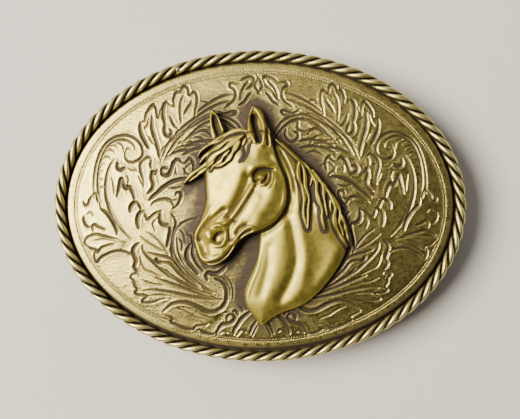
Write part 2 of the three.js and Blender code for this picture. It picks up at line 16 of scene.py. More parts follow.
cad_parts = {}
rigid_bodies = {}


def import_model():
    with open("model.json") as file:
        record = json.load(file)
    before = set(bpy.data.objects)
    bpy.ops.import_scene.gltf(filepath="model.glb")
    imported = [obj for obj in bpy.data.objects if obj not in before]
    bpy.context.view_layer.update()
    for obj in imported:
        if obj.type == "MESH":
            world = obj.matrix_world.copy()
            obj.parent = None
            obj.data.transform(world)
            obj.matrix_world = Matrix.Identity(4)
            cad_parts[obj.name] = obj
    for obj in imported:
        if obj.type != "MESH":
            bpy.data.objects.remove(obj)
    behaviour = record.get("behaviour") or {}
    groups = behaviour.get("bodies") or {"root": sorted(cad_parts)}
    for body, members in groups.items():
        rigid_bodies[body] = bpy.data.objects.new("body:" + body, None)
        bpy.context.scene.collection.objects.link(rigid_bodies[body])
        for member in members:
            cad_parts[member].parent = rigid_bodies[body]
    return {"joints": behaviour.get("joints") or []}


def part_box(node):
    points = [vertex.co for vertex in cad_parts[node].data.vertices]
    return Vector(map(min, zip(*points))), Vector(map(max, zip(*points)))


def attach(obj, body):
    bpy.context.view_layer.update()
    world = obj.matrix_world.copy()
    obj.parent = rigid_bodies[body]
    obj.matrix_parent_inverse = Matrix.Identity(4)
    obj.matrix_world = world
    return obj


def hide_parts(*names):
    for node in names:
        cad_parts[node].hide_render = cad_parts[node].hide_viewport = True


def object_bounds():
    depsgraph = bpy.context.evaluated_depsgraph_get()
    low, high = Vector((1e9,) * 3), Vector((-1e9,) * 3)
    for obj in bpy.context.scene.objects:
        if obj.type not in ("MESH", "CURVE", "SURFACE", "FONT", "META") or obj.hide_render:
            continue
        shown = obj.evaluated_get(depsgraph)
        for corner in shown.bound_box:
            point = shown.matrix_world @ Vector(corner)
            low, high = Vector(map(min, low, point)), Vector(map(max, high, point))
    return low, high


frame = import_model()
cad_low, cad_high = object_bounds()

MM = 0.001


def box_mm(node):
    """A CAD node's lowest and highest corners, in millimetres."""
    low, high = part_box(node)
    return np.array(low) / MM, np.array(high) / MM


# ---- Places and sizes taken from the frame -------------------------------------------------------------

plate_low, plate_high = box_mm("back_plate")
face_low, face_high = box_mm("face_plate")
pad_low, pad_high = box_mm("hook_pad")
prong_low, prong_high = box_mm("hook_prong")
top_level = cad_high.z / MM

PANEL_HEIGHT = 0.4
PLATE_BACK = plate_low[2] + PANEL_HEIGHT
PLATE_FRONT = plate_high[2]
PLATE_A, PLATE_B = plate_high[0], plate_high[1]
FACE_A, FACE_B = face_high[0], face_high[1]
FACE_BOTTOM = face_low[2]
FACE_RIM = FACE_BOTTOM + 2.15
DOME_RISE = 2.6
FACE_THICKNESS = 1.5
FACE_EDGE = 0.5  # radius of the face plate's rolled edge
HINGE_X, _, HINGE_Z = (value / MM for value in frame["joints"][0]["pos_m"])


def dome_level(x, y):
    """Height of the face plate before it is stamped."""
    return FACE_RIM + DOME_RISE * (1 - np.minimum(1, (x / FACE_A) ** 2 + (y / FACE_B) ** 2))


# ---- Relief: heights over a fine grid, in millimetres ------------------------------------------------


def smooth_line(points, closed=False, steps=6):
    """A smooth line through the points given, as an array of points."""
    p = np.array(points, float)
    if closed:
        p = np.vstack([p[-1], p, p[0], p[1]])
    else:
        p = np.vstack([2 * p[0] - p[1], p, 2 * p[-1] - p[-2]])
    before, start, end, after = p[:-3], p[1:-2], p[2:-1], p[3:]
    line = [start[0]]
    for t in np.arange(1, steps + 1) / steps:
        line.append(
            0.5
            * (
                2 * start
                + (end - before) * t
                + (2 * before - 5 * start + 4 * end - after) * t**2
                + (3 * start - before - 3 * end + after) * t**3
            )
        )
    body = np.stack(line[1:], axis=1).reshape(-1, p.shape[1])
    return np.vstack([start[:1], body])


class Grid:
    """A field of points between two corners, and what can be measured on it."""

    def __init__(self, low, high, step):
        self.low = np.array(low, float)
        self.step = step
        self.nx = int(round((high[0] - low[0]) / step)) + 1
        self.ny = int(round((high[1] - low[1]) / step)) + 1
        xs = self.low[0] + step * np.arange(self.nx)
        ys = self.low[1] + step * np.arange(self.ny)
        self.x, self.y = np.meshgrid(xs, ys, indexing="ij")

    def window(self, points, reach):
        first = np.floor((points.min(0) - reach - self.low) / self.step).astype(int)
        last = np.ceil((points.max(0) + reach - self.low) / self.step).astype(int) + 1
        i, j = np.clip(first, 0, [self.nx, self.ny])
        k, m = np.clip(last, 0, [self.nx, self.ny])
        return slice(i, k), slice(j, m)

    def near(self, line, reach):
        """Each point's distance from a line, up to reach, and its place along it from 0 to 1."""
        away = np.full(self.x.shape, float(reach))
        along = np.zeros(self.x.shape)
        lengths = np.hypot(*np.diff(line[:, :2], axis=0).T)
        passed = np.concatenate([[0], np.cumsum(lengths)])
        for i, length in enumerate(lengths):
            if length < 1e-9:
                continue
            a, b = line[i, :2], line[i + 1, :2]
            place = self.window(np.stack([a, b]), reach)
            dx, dy = self.x[place] - a[0], self.y[place] - a[1]
            ux, uy = (b - a) / length
            t = np.clip(dx * ux + dy * uy, 0, length)
            d = np.hypot(dx - t * ux, dy - t * uy)
            nearer = d < away[place]
            away[place][nearer] = d[nearer]
            along[place][nearer] = ((passed[i] + t) / passed[-1])[nearer]
        return away, along

    def inside(self, outline):
        """Which points lie within a closed outline."""
        found = np.zeros(self.x.shape, bool)
        place = self.window(outline[:, :2], 0)
        x, y = self.x[place], self.y[place]
        odd = np.zeros(x.shape, bool)
        for (ax, ay), (bx, by) in zip(outline[:, :2], np.roll(outline[:, :2], -1, axis=0)):
            if ay == by:
                continue
            crosses = (ay > y) != (by > y)
            odd ^= crosses & (x < (bx - ax) * (y - ay) / (by - ay) + ax)
        found[place] = odd
        return found

    def at(self, field, x, y):
        """The field's value at any places, between the grid's points."""
        u = np.clip((x - self.low[0]) / self.step, 0, self.nx - 1.001)
        v = np.clip((y - self.low[1]) / self.step, 0, self.ny - 1.001)
        i, j = u.astype(int), v.astype(int)
        s, t = u - i, v - j
        return (
            field[i, j] * (1 - s) * (1 - t)
            + field[i + 1, j] * s * (1 - t)
            + field[i, j + 1] * (1 - s) * t
            + field[i + 1, j + 1] * s * t
        )


def blurred(field, times):
    """A field with its corners worn away a little more at each pass."""
    for _ in range(times):
        wide = np.pad(field, 1, mode="edge")
        sides = wide[2:, 1:-1] + wide[:-2, 1:-1] + wide[1:-1, 2:] + wide[1:-1, :-2]
        field = 0.5 * field + 0.125 * sides
    return field


def eased(low, high, value):
    t = np.clip((value - low) / (high - low), 0, 1)
    return t * t * (3 - 2 * t)


# ---- Finishes ----------------------------------------------------------------------------------------


class Nodes:
    """A node tree that is put together one node at a time."""

    def __init__(self, tree):
        self.nodes, self.links = tree.nodes, tree.links

    def put(self, value, socket):
        """Links one node's output to a socket, or sets the socket to a value."""
        if isinstance(value, bpy.types.NodeSocket):
            self.links.new(value, socket)
        else:
            socket.default_value = value

    def add(self, kind, inputs=(), **settings):
        node = self.nodes.new(kind)
        for name, value in settings.items():
            setattr(node, name, value)
        for name, value in dict(inputs).items():
            self.put(value, node.inputs[name])
        return node


class Finish(Nodes):
    """A material that is put together one node at a time."""

    def __init__(self, name):
        self.material = bpy.data.materials.new(name)
        self.material.use_nodes = True
        super().__init__(self.material.node_tree)
        self.shader = self.nodes["Principled BSDF"]
        self.place = self.add("ShaderNodeTexCoord").outputs["Object"]

    def noise(self, scale, detail=4.0, roughness=0.55, stretch=None):
        """Cloudy variation; scale is the number of clouds in a metre, stretch widens them along an axis."""
        place = self.place
        if stretch:
            place = self.add("ShaderNodeMapping", {"Vector": place, "Scale": stretch}).outputs[0]
        settings = {"Vector": place, "Scale": scale, "Detail": detail, "Roughness": roughness}
        return self.add("ShaderNodeTexNoise", settings).outputs["Fac"]

    def ramp(self, value, low, high, out_low=0.0, out_high=1.0):
        inputs = {"Value": value, "From Min": low, "From Max": high, "To Min": out_low, "To Max": out_high}
        return self.add("ShaderNodeMapRange", inputs, interpolation_type="SMOOTHSTEP").outputs[0]

    def sum(self, first, second, operation="ADD"):
        inputs = {0: first, 1: second}
        return self.add("ShaderNodeMath", inputs, operation=operation, use_clamp=True).outputs[0]

    def blend(self, share, first, second):
        mix = self.add("ShaderNodeMix", {0: share}, data_type="RGBA")
        for socket, value in zip((mix.inputs[6], mix.inputs[7]), (first, second)):
            self.put(value if isinstance(value, bpy.types.NodeSocket) else (*value, 1), socket)
        return mix.outputs[2]

    def bump(self, height, distance, strength=1.0, under=None):
        inputs = {"Height": height, "Distance": distance, "Strength": strength}
        if under:
            inputs["Normal"] = under
        return self.add("ShaderNodeBump", inputs).outputs[0]

    def set(self, **inputs):
        for name, value in inputs.items():
            self.put(value, self.shader.inputs[name.replace("_", " ")])
        return self.material


def aged_brass(name, bright, warm, dark, gloss, grain, grain_depth, recessed=False, matted=False):
    """Aged brass: bright where it is rubbed, dark oxide where a hand does not reach.

    recessed says that the mesh carries a "patina" attribute, which is 1 deep in a recess, with painted shade
    mixed in on some pieces, and matted that it carries "matted", which is 1 where the ground has short level
    strokes."""
    f = Finish(name)
    mottle = f.ramp(f.noise(90, 5), 0.3, 0.72)
    metal = f.blend(mottle, bright, warm)
    clouds = f.noise(900, 3)
    if recessed:
        patina = f.add("ShaderNodeAttribute", attribute_name="patina").outputs["Fac"]
        patina = f.sum(patina, f.ramp(clouds, 0.35, 0.8, -0.06, 0.1))
    else:
        patina = f.ramp(f.noise(260, 6, 0.62), 0.56, 0.8, 0.0, 0.55)
    colour = f.blend(f.ramp(patina, 0.0, 0.75), metal, dark)
    roughness = f.sum(f.ramp(clouds, 0.2, 0.8, gloss - 0.05, gloss + 0.07), f.ramp(patina, 0, 1, 0, 0.3))
    fine = f.bump(f.noise(grain, 3, 0.6), grain_depth * MM)
    scratches = f.noise(2600, 2, 0.5, stretch=(0.12, 1.6, 1.0))
    normal = f.bump(f.ramp(scratches, 0.6, 0.72), 0.012 * MM, 0.5, under=fine)
    if matted:
        ground = f.add("ShaderNodeAttribute", attribute_name="matted").outputs["Fac"]
        strokes = f.noise(2100, 2, 0.5, stretch=(0.3, 1.0, 1.0))
        normal = f.bump(f.sum(strokes, ground, "MULTIPLY"), 0.08 * MM, under=normal)
    metallic = f.ramp(patina, 0.1, 1.0, 1.0, 0.72)
    return f.set(Base_Color=colour, Roughness=roughness, Metallic=metallic, Normal=normal)


def plated_steel(name):
    """Nickel-plated steel gone warm and dull, with fine drawn lines."""
    f = Finish(name)
    colour = f.blend(f.ramp(f.noise(160, 5), 0.35, 0.75), (0.47, 0.44, 0.38), (0.30, 0.27, 0.22))
    roughness = f.ramp(f.noise(1200, 3), 0.2, 0.8, 0.28, 0.44)
    lines = f.noise(3000, 2, 0.5, stretch=(0.1, 1.0, 1.0))
    return f.set(Base_Color=colour, Roughness=roughness, Metallic=1.0, Normal=f.bump(lines, 0.02 * MM))


def solder_finish(name):
    f = Finish(name)
    colour = f.blend(f.ramp(f.noise(900, 4), 0.3, 0.7), (0.46, 0.39, 0.24), (0.62, 0.56, 0.40))
    return f.set(Base_Color=colour, Roughness=0.36, Metallic=1.0, Normal=f.bump(f.noise(2500), 0.05 * MM))


PALE, GOLD, OLIVE = (0.80, 0.68, 0.28), (0.60, 0.49, 0.15), (0.38, 0.30, 0.10)
UMBER, BLACKENING_AND_SHADE = (0.078, 0.057, 0.038), (0.012, 0.010, 0.009)
# Bright tone, warm tone, darkest tone, roughness, grains in a metre and their depth in millimetres, and
# whether the mesh carries patina, with painted shade mixed in, and matting.
BRASSES = {
    "antique_brass": (GOLD, (0.46, 0.37, 0.12), UMBER, 0.28, 5200, 0.05, True, True),
    "polished_brass": ((0.54, 0.44, 0.085), (0.44, 0.35, 0.072), UMBER, 0.47, 2400, 0.012, True),
    "rope_brass": (PALE, GOLD, BLACKENING_AND_SHADE, 0.40, 3600, 0.03, True),
    "back_brass": (OLIVE, (0.30, 0.23, 0.09), UMBER, 0.46, 3000, 0.08, True),
    "lug_brass": ((0.56, 0.44, 0.21), OLIVE, UMBER, 0.36, 2600, 0.04),
    "hook_brass": (GOLD, OLIVE, UMBER, 0.30, 2200, 0.03),
    "rivet_brass": (GOLD, OLIVE, UMBER, 0.32, 2600, 0.03),
}
finishes = {name: aged_brass(name, *look) for name, look in BRASSES.items()}
finishes |= {"loop_steel": plated_steel("loop_steel"), "solder": solder_finish("solder")}


# ---- Meshes ------------------------------------------------------------------------------------------


def mesh_object(name, points, faces):
    """An object from points in millimetres and arrays of faces, each array of one corner count."""
    mesh = bpy.data.meshes.new(name)
    groups = [np.asarray(group, np.int32) for group in (faces if isinstance(faces, list) else [faces])]
    corners = np.concatenate([group.ravel() for group in groups])
    totals = np.concatenate([np.full(len(group), group.shape[1], np.int32) for group in groups])
    mesh.vertices.add(len(points))
    mesh.vertices.foreach_set("co", (np.asarray(points) * MM).astype(np.float32).ravel())
    mesh.loops.add(len(corners))
    mesh.loops.foreach_set("vertex_index", corners)
    mesh.polygons.add(len(totals))
    mesh.polygons.foreach_set("loop_start", (np.cumsum(totals) - totals).astype(np.int32))
    mesh.update(calc_edges=True)
    mesh.validate()
    mesh.shade_smooth()
    made = bpy.data.objects.new(name, mesh)
    bpy.context.scene.collection.objects.link(made)
    return made


def add_point_attribute(mesh, values, name="patina"):
    layer = mesh.attributes.new(name, "FLOAT", "POINT")
    layer.data.foreach_set("value", np.clip(values, 0, 1).astype(np.float32))


def points_of(mesh):
    found = np.empty(len(mesh.vertices) * 3, np.float32)
    mesh.vertices.foreach_get("co", found)
    return found.reshape(-1, 3) / MM


def fit(piece, finish, body, *nodes):
    """Gives a piece its finish, the body that it rides on and the CAD nodes that it stands for."""
    piece.data.materials.clear()
    piece.data.materials.append(finishes[finish])
    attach(piece, body)
    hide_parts(*nodes)
    return piece


def worked_in(piece):
    """The piece with its modifiers worked into its mesh."""
    worked = bpy.data.meshes.new_from_object(piece.evaluated_get(bpy.context.evaluated_depsgraph_get()))
    piece.modifiers.clear()
    old, piece.data = piece.data, worked
    bpy.data.meshes.remove(old)
    return piece


def applied(piece, kind, **settings):
    """The piece with one modifier set on it and worked into its mesh."""
    modifier = piece.modifiers.new(kind.title(), kind)
    for name, value in settings.items():
        setattr(modifier, name, value)
    return worked_in(piece)


def eased_edges(piece, radius):
    """A small round on every sharp edge, then shading that keeps the flats flat."""
    sharp = {"limit_method": "ANGLE", "angle_limit": math.radians(35)}
    applied(piece, "BEVEL", width=radius * MM, segments=3, harden_normals=False, **sharp)
    piece.data.shade_smooth()
    return applied(piece, "WEIGHTED_NORMAL", keep_sharp=True, weight=80)


def ring_skin(rings):
    """Points and faces of a closed skin over rings of points, each end closed to its middle."""
    count = len(rings[0])
    rings = np.asarray(rings, float)
    points = np.vstack([rings.reshape(-1, 3), rings[0].mean(0), rings[-1].mean(0)])
    i = np.arange(count)
    j = (i + 1) % count
    quads = [np.stack([k * count + i, k * count + j, (k + 1) * count + j, (k + 1) * count + i], 1)
             for k in range(len(rings) - 1)]
    last = (len(rings) - 1) * count
    ends = np.vstack([
        np.stack([j, i, np.full(count, len(points) - 2)], 1),
        np.stack([last + i, last + j, np.full(count, len(points) - 1)], 1),
    ])
    return points, [np.vstack(quads), ends]


def extruded(name, outer, holes, low, high):
    """A block along y from outlines in x and z, each given anticlockwise seen from the -y side."""
    loops = [np.asarray(loop, float) for loop in (outer, *holes)]
    flat = np.vstack(loops)
    triangles = np.array(tessellate_polygon([[Vector((x, z, 0)) for x, z in loop] for loop in loops]))
    count = len(flat)
    sides = [np.column_stack([flat[:, 0], np.full(count, y), flat[:, 1]]) for y in (low, high)]
    a, b, c = flat[triangles[:, 0]], flat[triangles[:, 1]], flat[triangles[:, 2]]
    turned = (b[:, 0] - a[:, 0]) * (c[:, 1] - a[:, 1]) - (b[:, 1] - a[:, 1]) * (c[:, 0] - a[:, 0]) < 0
    triangles[turned] = triangles[turned][:, ::-1]
    walls, start = [], 0
    for loop in loops:
        i = start + np.arange(len(loop))
        j = start + (np.arange(len(loop)) + 1) % len(loop)
        walls.append(np.stack([i, i + count, j + count, j], 1)[:, ::-1])
        start += len(loop)
    faces = [triangles, triangles[:, ::-1] + count, np.vstack(walls)]
    return outward(mesh_object(name, np.vstack(sides), faces))


def outward(piece):
    """Merges what lies in one place and turns every face outwards."""
    work = bmesh.new()
    work.from_mesh(piece.data)
    bmesh.ops.remove_doubles(work, verts=work.verts, dist=1e-7)
    bmesh.ops.recalc_face_normals(work, faces=work.faces)
    work.to_mesh(piece.data)
    work.free()
    return piece


def arc(x, z, radius, start, end, steps):
    turns = np.radians(np.linspace(start, end, steps + 1))
    return np.column_stack([x + radius * np.cos(turns), z + radius * np.sin(turns)])


def rounded_outline(half_length, half_width, corner, steps=4):
    """A rectangle with round corners."""
    return np.vstack([
        arc(sx * (half_length - corner), sy * (half_width - corner), corner, start, start + 90, steps)
        for sx, sy, start in ((1, -1, -90), (1, 1, 0), (-1, 1, 90), (-1, -1, 180))
    ])


def oval(a, b, level, count, x=0.0):
    """A level ring of points round an oval."""
    turns = 2 * np.pi * np.arange(count) / count
    return np.column_stack([x + a * np.cos(turns), b * np.sin(turns), np.full(count, level)])


# ---- Repeated pieces made by geometry nodes ------------------------------------------------------------


class Tree(Nodes):
    """A geometry node tree with named inputs."""

    def __init__(self, name, inputs):
        self.group = bpy.data.node_groups.new(name, "GeometryNodeTree")
        super().__init__(self.group)
        face = self.group.interface
        face.new_socket("Geometry", in_out="INPUT", socket_type="NodeSocketGeometry")
        for label, kind in inputs.items():
            face.new_socket(label, in_out="INPUT", socket_type=kind)
        face.new_socket("Geometry", in_out="OUTPUT", socket_type="NodeSocketGeometry")
        self.source = self.add("NodeGroupInput")
        self.ids = {item.name: item.identifier for item in face.items_tree if item.in_out == "INPUT"}

    def given(self, label):
        return self.source.outputs[label]

    def math(self, operation, first, second=0.0):
        return self.add("ShaderNodeMath", {0: first, 1: second}, operation=operation).outputs[0]

    def joined(self, parts):
        node = self.add("GeometryNodeJoinGeometry")
        for part in parts:
            self.links.new(part, node.inputs[0])
        return node.outputs[0]

    def finish(self, geometry):
        """Ends the tree: plain meshes, smooth, in the material given."""
        geometry = self.add("GeometryNodeSetShadeSmooth", {"Geometry": geometry}).outputs[0]
        geometry = self.add("GeometryNodeRealizeInstances", {"Geometry": geometry}).outputs[0]
        inputs = {"Geometry": geometry, "Material": self.given("Material")}
        geometry = self.add("GeometryNodeSetMaterial", inputs).outputs[0]
        self.links.new(geometry, self.add("NodeGroupOutput").inputs[0])

    def made_on(self, piece, values):
        """Runs the tree on the piece with the values given, and leaves a plain mesh."""
        modifier = piece.modifiers.new("Nodes", "NODES")
        modifier.node_group = self.group
        for label, value in values.items():
            modifier[self.ids[label]] = value
        return worked_in(piece)


ROPE_RADIUS = 1.25
ROPE_A, ROPE_B = cad_high.x / MM - ROPE_RADIUS, cad_high.y / MM - ROPE_RADIUS
SEAT_GAP = 0.2  # between faces that touch on the real buckle
ROPE_LEVEL = PLATE_FRONT + SEAT_GAP + ROPE_RADIUS
ROPE_STRANDS = 3
ROPE_TURNS = 25
STEPS_IN_TURN, WIRE_SIDES = 26, 14
ROPE_JOINT_TURN = math.radians(114.4)


def rope_tree():
    """Strands twisted round an oval centre line: each is a round wire swept along its own helix."""
    floats = ("Half length", "Half width", "Level", "Orbit", "Wire radius")
    inputs = dict.fromkeys(floats, "NodeSocketFloat")
    inputs |= {"Turns": "NodeSocketInt", "Steps": "NodeSocketInt", "Wire sides": "NodeSocketInt"}
    tree = Tree("rope_border", inputs | {"Material": "NodeSocketMaterial"})
    circle = tree.add("GeometryNodeCurvePrimitiveCircle", {"Resolution": 720, "Radius": 1.0}).outputs[0]
    halves = {0: tree.given("Half length"), 1: tree.given("Half width"), 2: 1.0}
    size = tree.add("ShaderNodeCombineXYZ", halves)
    lift = tree.add("ShaderNodeCombineXYZ", {2: tree.given("Level")})
    inputs = {"Geometry": circle, "Scale": size.outputs[0], "Translation": lift.outputs[0]}
    oval = tree.add("GeometryNodeTransform", inputs).outputs[0]
    line = tree.add("GeometryNodeResampleCurve", {"Curve": oval, "Count": tree.given("Steps")}).outputs[0]
    place = tree.math("DIVIDE", tree.add("GeometryNodeInputIndex").outputs[0], tree.given("Steps"))
    twist = tree.math("MULTIPLY", tree.math("MULTIPLY", place, tree.given("Turns")), 2 * math.pi)
    tangent = tree.add("GeometryNodeInputTangent").outputs[0]
    out = tree.add("ShaderNodeVectorMath", {0: tangent, 1: (0, 0, 1)}, operation="CROSS_PRODUCT").outputs[0]
    out = tree.add("ShaderNodeVectorMath", {0: out}, operation="NORMALIZE").outputs[0]
    inputs = {"Resolution": tree.given("Wire sides"), "Radius": tree.given("Wire radius")}
    wire = tree.add("GeometryNodeCurvePrimitiveCircle", inputs).outputs[0]
    strands = []
    for strand in range(ROPE_STRANDS):
        phase = tree.math("ADD", twist, 2 * math.pi * strand / ROPE_STRANDS)
        across = tree.math("MULTIPLY", tree.math("COSINE", phase), tree.given("Orbit"))
        upward = tree.math("MULTIPLY", tree.math("SINE", phase), tree.given("Orbit"))
        sideways = tree.add("ShaderNodeVectorMath", {0: out, "Scale": across}, operation="SCALE").outputs[0]
        rise = tree.add("ShaderNodeCombineXYZ", {2: upward}).outputs[0]
        shift = tree.add("ShaderNodeVectorMath", {0: sideways, 1: rise}, operation="ADD").outputs[0]
        helix = tree.add("GeometryNodeSetPosition", {"Geometry": line, "Offset": shift}).outputs[0]
        inputs = {"Curve": helix, "Profile Curve": wire}
        strands.append(tree.add("GeometryNodeCurveToMesh", inputs).outputs[0])
    tree.finish(tree.joined(strands))
    return tree


def rope_border():
    """The twisted rope, darkened between its strands by antiquing and painted shade, with painted shade on
    its underside.
    """
    wire = ROPE_RADIUS / (1 + 2 / math.sqrt(3)) * 1.03  # the three just press into each other
    orbit = ROPE_RADIUS - wire
    piece = mesh_object("rope_border", np.zeros((1, 3)), np.zeros((0, 3), int))
    values = {"Half length": ROPE_A, "Half width": ROPE_B, "Level": ROPE_LEVEL}
    values |= {"Orbit": orbit, "Wire radius": wire}
    values = {label: value * MM for label, value in values.items()}
    values |= {"Turns": ROPE_TURNS, "Steps": ROPE_TURNS * STEPS_IN_TURN, "Wire sides": WIRE_SIDES}
    rope_tree().made_on(piece, values | {"Material": finishes["rope_brass"]})
    outward(piece)
    points = points_of(piece.data)
    centre = Grid((-50, -40), (50, 40), 0.5)
    turns = np.linspace(0, 2 * np.pi, 721)
    away, _ = centre.near(np.column_stack([ROPE_A * np.cos(turns), ROPE_B * np.sin(turns)]), 3)
    across = centre.at(away, points[:, 0], points[:, 1])
    reach = np.hypot(across, points[:, 2] - ROPE_LEVEL)
    # Dark between the strands: antiquing, with painted shade deep in the crevices.
    patina = 1 - eased(0.68 * ROPE_RADIUS, 0.90 * ROPE_RADIUS, reach)
    # Painted shade over the rope's underside, towards the back plate.
    under = 0.8 * (1 - eased(ROPE_LEVEL - 1.0, ROPE_LEVEL + 0.1, points[:, 2]))
    patina = np.maximum(patina, under)
    add_point_attribute(piece.data, patina)
    piece.data.shade_smooth()
    return fit(piece, "rope_brass", "buckle", "rope_strand_1", "rope_strand_2", "rope_strand_3")


def rivet_tree():
    """Rivets on the mesh's points: a domed head below, a shank, and a domed tail above."""
    floats = ("Head radius", "Head height", "Shank radius", "Shank length", "Tail radius", "Tail height")
    inputs = dict.fromkeys(floats, "NodeSocketFloat") | {"Sides": "NodeSocketInt"}
    tree = Tree("rivets", inputs | {"Material": "NodeSocketMaterial"})

    def dome(radius, height, sign):
        ball = {"Segments": tree.given("Sides"), "Rings": 14, "Radius": 1.0}
        ball = tree.add("GeometryNodeMeshUVSphere", ball).outputs[0]
        place = tree.add("ShaderNodeSeparateXYZ", {0: tree.add("GeometryNodeInputPosition").outputs[0]})
        depth = tree.math("MAXIMUM" if sign > 0 else "MINIMUM", place.outputs[2], 0.0)
        tall = tree.math("MULTIPLY", depth, tree.given(height))
        wide = [tree.math("MULTIPLY", place.outputs[i], tree.given(radius)) for i in (0, 1)]
        lift = tree.math("ADD", tall, tree.given("Shank length")) if sign > 0 else tall
        where = tree.add("ShaderNodeCombineXYZ", {0: wide[0], 1: wide[1], 2: lift}).outputs[0]
        return tree.add("GeometryNodeSetPosition", {"Geometry": ball, "Position": where}).outputs[0]

    inputs = {"Vertices": tree.given("Sides"), "Radius": tree.given("Shank radius")}
    shank = tree.add("GeometryNodeMeshCylinder", inputs | {"Depth": tree.given("Shank length")}).outputs[0]
    lift = tree.math("MULTIPLY", tree.given("Shank length"), 0.5)
    up = tree.add("ShaderNodeCombineXYZ", {2: lift}).outputs[0]
    shank = tree.add("GeometryNodeTransform", {"Geometry": shank, "Translation": up}).outputs[0]
    one = tree.joined([dome("Head radius", "Head height", -1), shank, dome("Tail radius", "Tail height", 1)])
    inputs = {"Points": tree.given("Geometry"), "Instance": one}
    tree.finish(tree.add("GeometryNodeInstanceOnPoints", inputs).outputs[0])
    return tree


# Radius and height of the head, radius of the shank, and radius and height of the peened tail.
RIVET = ((1.6, 0.8), 0.9, (1.5, 0.6))
EMBLEM_STUD = ((2.0, 0.7), 1.1, (1.1, 0.2))


def rivets(name, tree, nodes, sizes):
    """Rivets where the CAD nodes are, each as long as the first node."""
    (head_radius, head_height), shank_radius, (tail_radius, tail_height) = sizes
    low, high = box_mm(nodes[0])
    length = high[2] - low[2] - head_height - tail_height
    middles = [sum(box_mm(node)) / 2 for node in nodes]
    places = np.array([(x, y, low[2] + head_height) for x, y, _ in middles])
    piece = mesh_object(name, places, np.zeros((0, 3), int))
    values = {"Head radius": head_radius, "Head height": head_height, "Shank radius": shank_radius}
    values |= {"Shank length": length, "Tail radius": tail_radius, "Tail height": tail_height}
    values = {label: value * MM for label, value in values.items()}
    tree.made_on(piece, values | {"Sides": 28, "Material": finishes["rivet_brass"]})
    outward(piece)
    return fit(piece, "rivet_brass", "buckle", *nodes)


def all_rivets():
    tree = rivet_tree()
    in_lugs = [f"loop_lug_{end}_rivet_{i}" for end in ("lower", "upper") for i in (1, 2)]
    rivets("lug_rivets", tree, in_lugs, RIVET)
    rivets("pad_rivets", tree, ["hook_pad_rivet_lower", "hook_pad_rivet_upper"], RIVET)
    for node in ("emblem_rivet_head", "emblem_rivet_neck"):
        rivets(node + "_stud", tree, [node], EMBLEM_STUD)


# ---- Back plate, lugs, loop and hook -------------------------------------------------------------------


def back_plate():
    """The flat oval plate: its rolled edge, and a shallow border groove on its back."""
    count = 240
    front_edge = [(0.25, 0.0), (0.08, -0.06), (0.0, -0.22)]  # inset, and rise over the front
    back_edge = [(0.0, 0.5), (0.08, 0.22), (0.22, 0.08), (0.4, 0.0)]  # inset, and rise over the back
    groove = [(1.6, 0.0), (1.8, 0.14), (2.0, 0.2), (2.2, 0.14), (2.4, 0.0)]
    turned = [(inset, PLATE_FRONT + rise) for inset, rise in front_edge]
    turned += [(inset, PLATE_BACK + rise) for inset, rise in back_edge + groove]
    flats = [(share, PLATE_FRONT) for share in (0.4, 0.8, 0.9, 0.95, 0.98)]
    rings = [oval(PLATE_A * share, PLATE_B * share, z, count) for share, z in flats]
    rings += [oval(PLATE_A - inset, PLATE_B - inset, z, count) for inset, z in turned]
    rings += [oval(PLATE_A * share, PLATE_B * share, PLATE_BACK, count) for share in (0.8, 0.55, 0.3)]
    piece = mesh_object("back_plate_finished", *ring_skin(rings))
    outward(piece)
    x, y, z = points_of(piece.data).T
    inside_rope = 1 - eased(0.93, 0.99, np.hypot(x / PLATE_A, y / PLATE_B))
    # Front face almost black where it shows in the channel: antiquing, with painted shade under the rope and
    # face plate; the back is lighter.
    add_point_attribute(piece.data, np.where(z > PLATE_FRONT - 0.5, 0.95, 0.25) * np.maximum(inside_rope, 0.75))
    return fit(piece, "back_brass", "buckle", "back_plate")


def back_panel():
    """The blank raised panel on the back, where a maker would put a mark."""
    middle = np.array([-12.0, 0.0])
    outline = rounded_outline(9.0, 5.5, 2.0, 8)
    border = [(0.0, -0.3), (0.0, 0.25), (0.05, 0.34), (0.16, PANEL_HEIGHT)]  # inset, and height
    field = [(0.7, PANEL_HEIGHT), (0.8, 0.3), (1.0, 0.28)]
    rings = []
    for inset, height in border + field:
        shrunk = middle + outline * (1 - inset / np.abs(outline).max(0))
        rings.append(np.column_stack([shrunk, np.full(len(outline), PLATE_BACK - height)]))
    piece = mesh_object("back_panel_blank", *ring_skin(rings[::-1]))
    outward(piece)
    add_point_attribute(piece.data, eased(PLATE_BACK - 0.36, PLATE_BACK - 0.26, points_of(piece.data)[:, 2]) * 0.6)
    return fit(piece, "back_brass", "buckle", "back_plate")


def lug(end):
    """A riveted foot that rises into the knuckle round the loop's pivot."""
    node = f"loop_lug_{end}"
    low, high = box_mm(node)
    foot, radius, shoulder = high[2] - 1.3, 3.0, 0.8
    outer = np.vstack([
        [(low[0], high[2]), (low[0], foot + 0.5), (low[0] + 0.5, foot)],
        [(HINGE_X - radius - shoulder, foot), (HINGE_X - radius - 0.1, foot - shoulder)],
        arc(HINGE_X, HINGE_Z, radius, 180, 360, 24),
        [(HINGE_X + radius, high[2])],
    ])
    bore = arc(HINGE_X, HINGE_Z, 1.6, 0, 360, 24)[:-1]
    piece = extruded(node + "_cast", outer, [bore], low[1], high[1])
    eased_edges(piece, 0.28)
    return fit(piece, "lug_brass", "buckle", node)


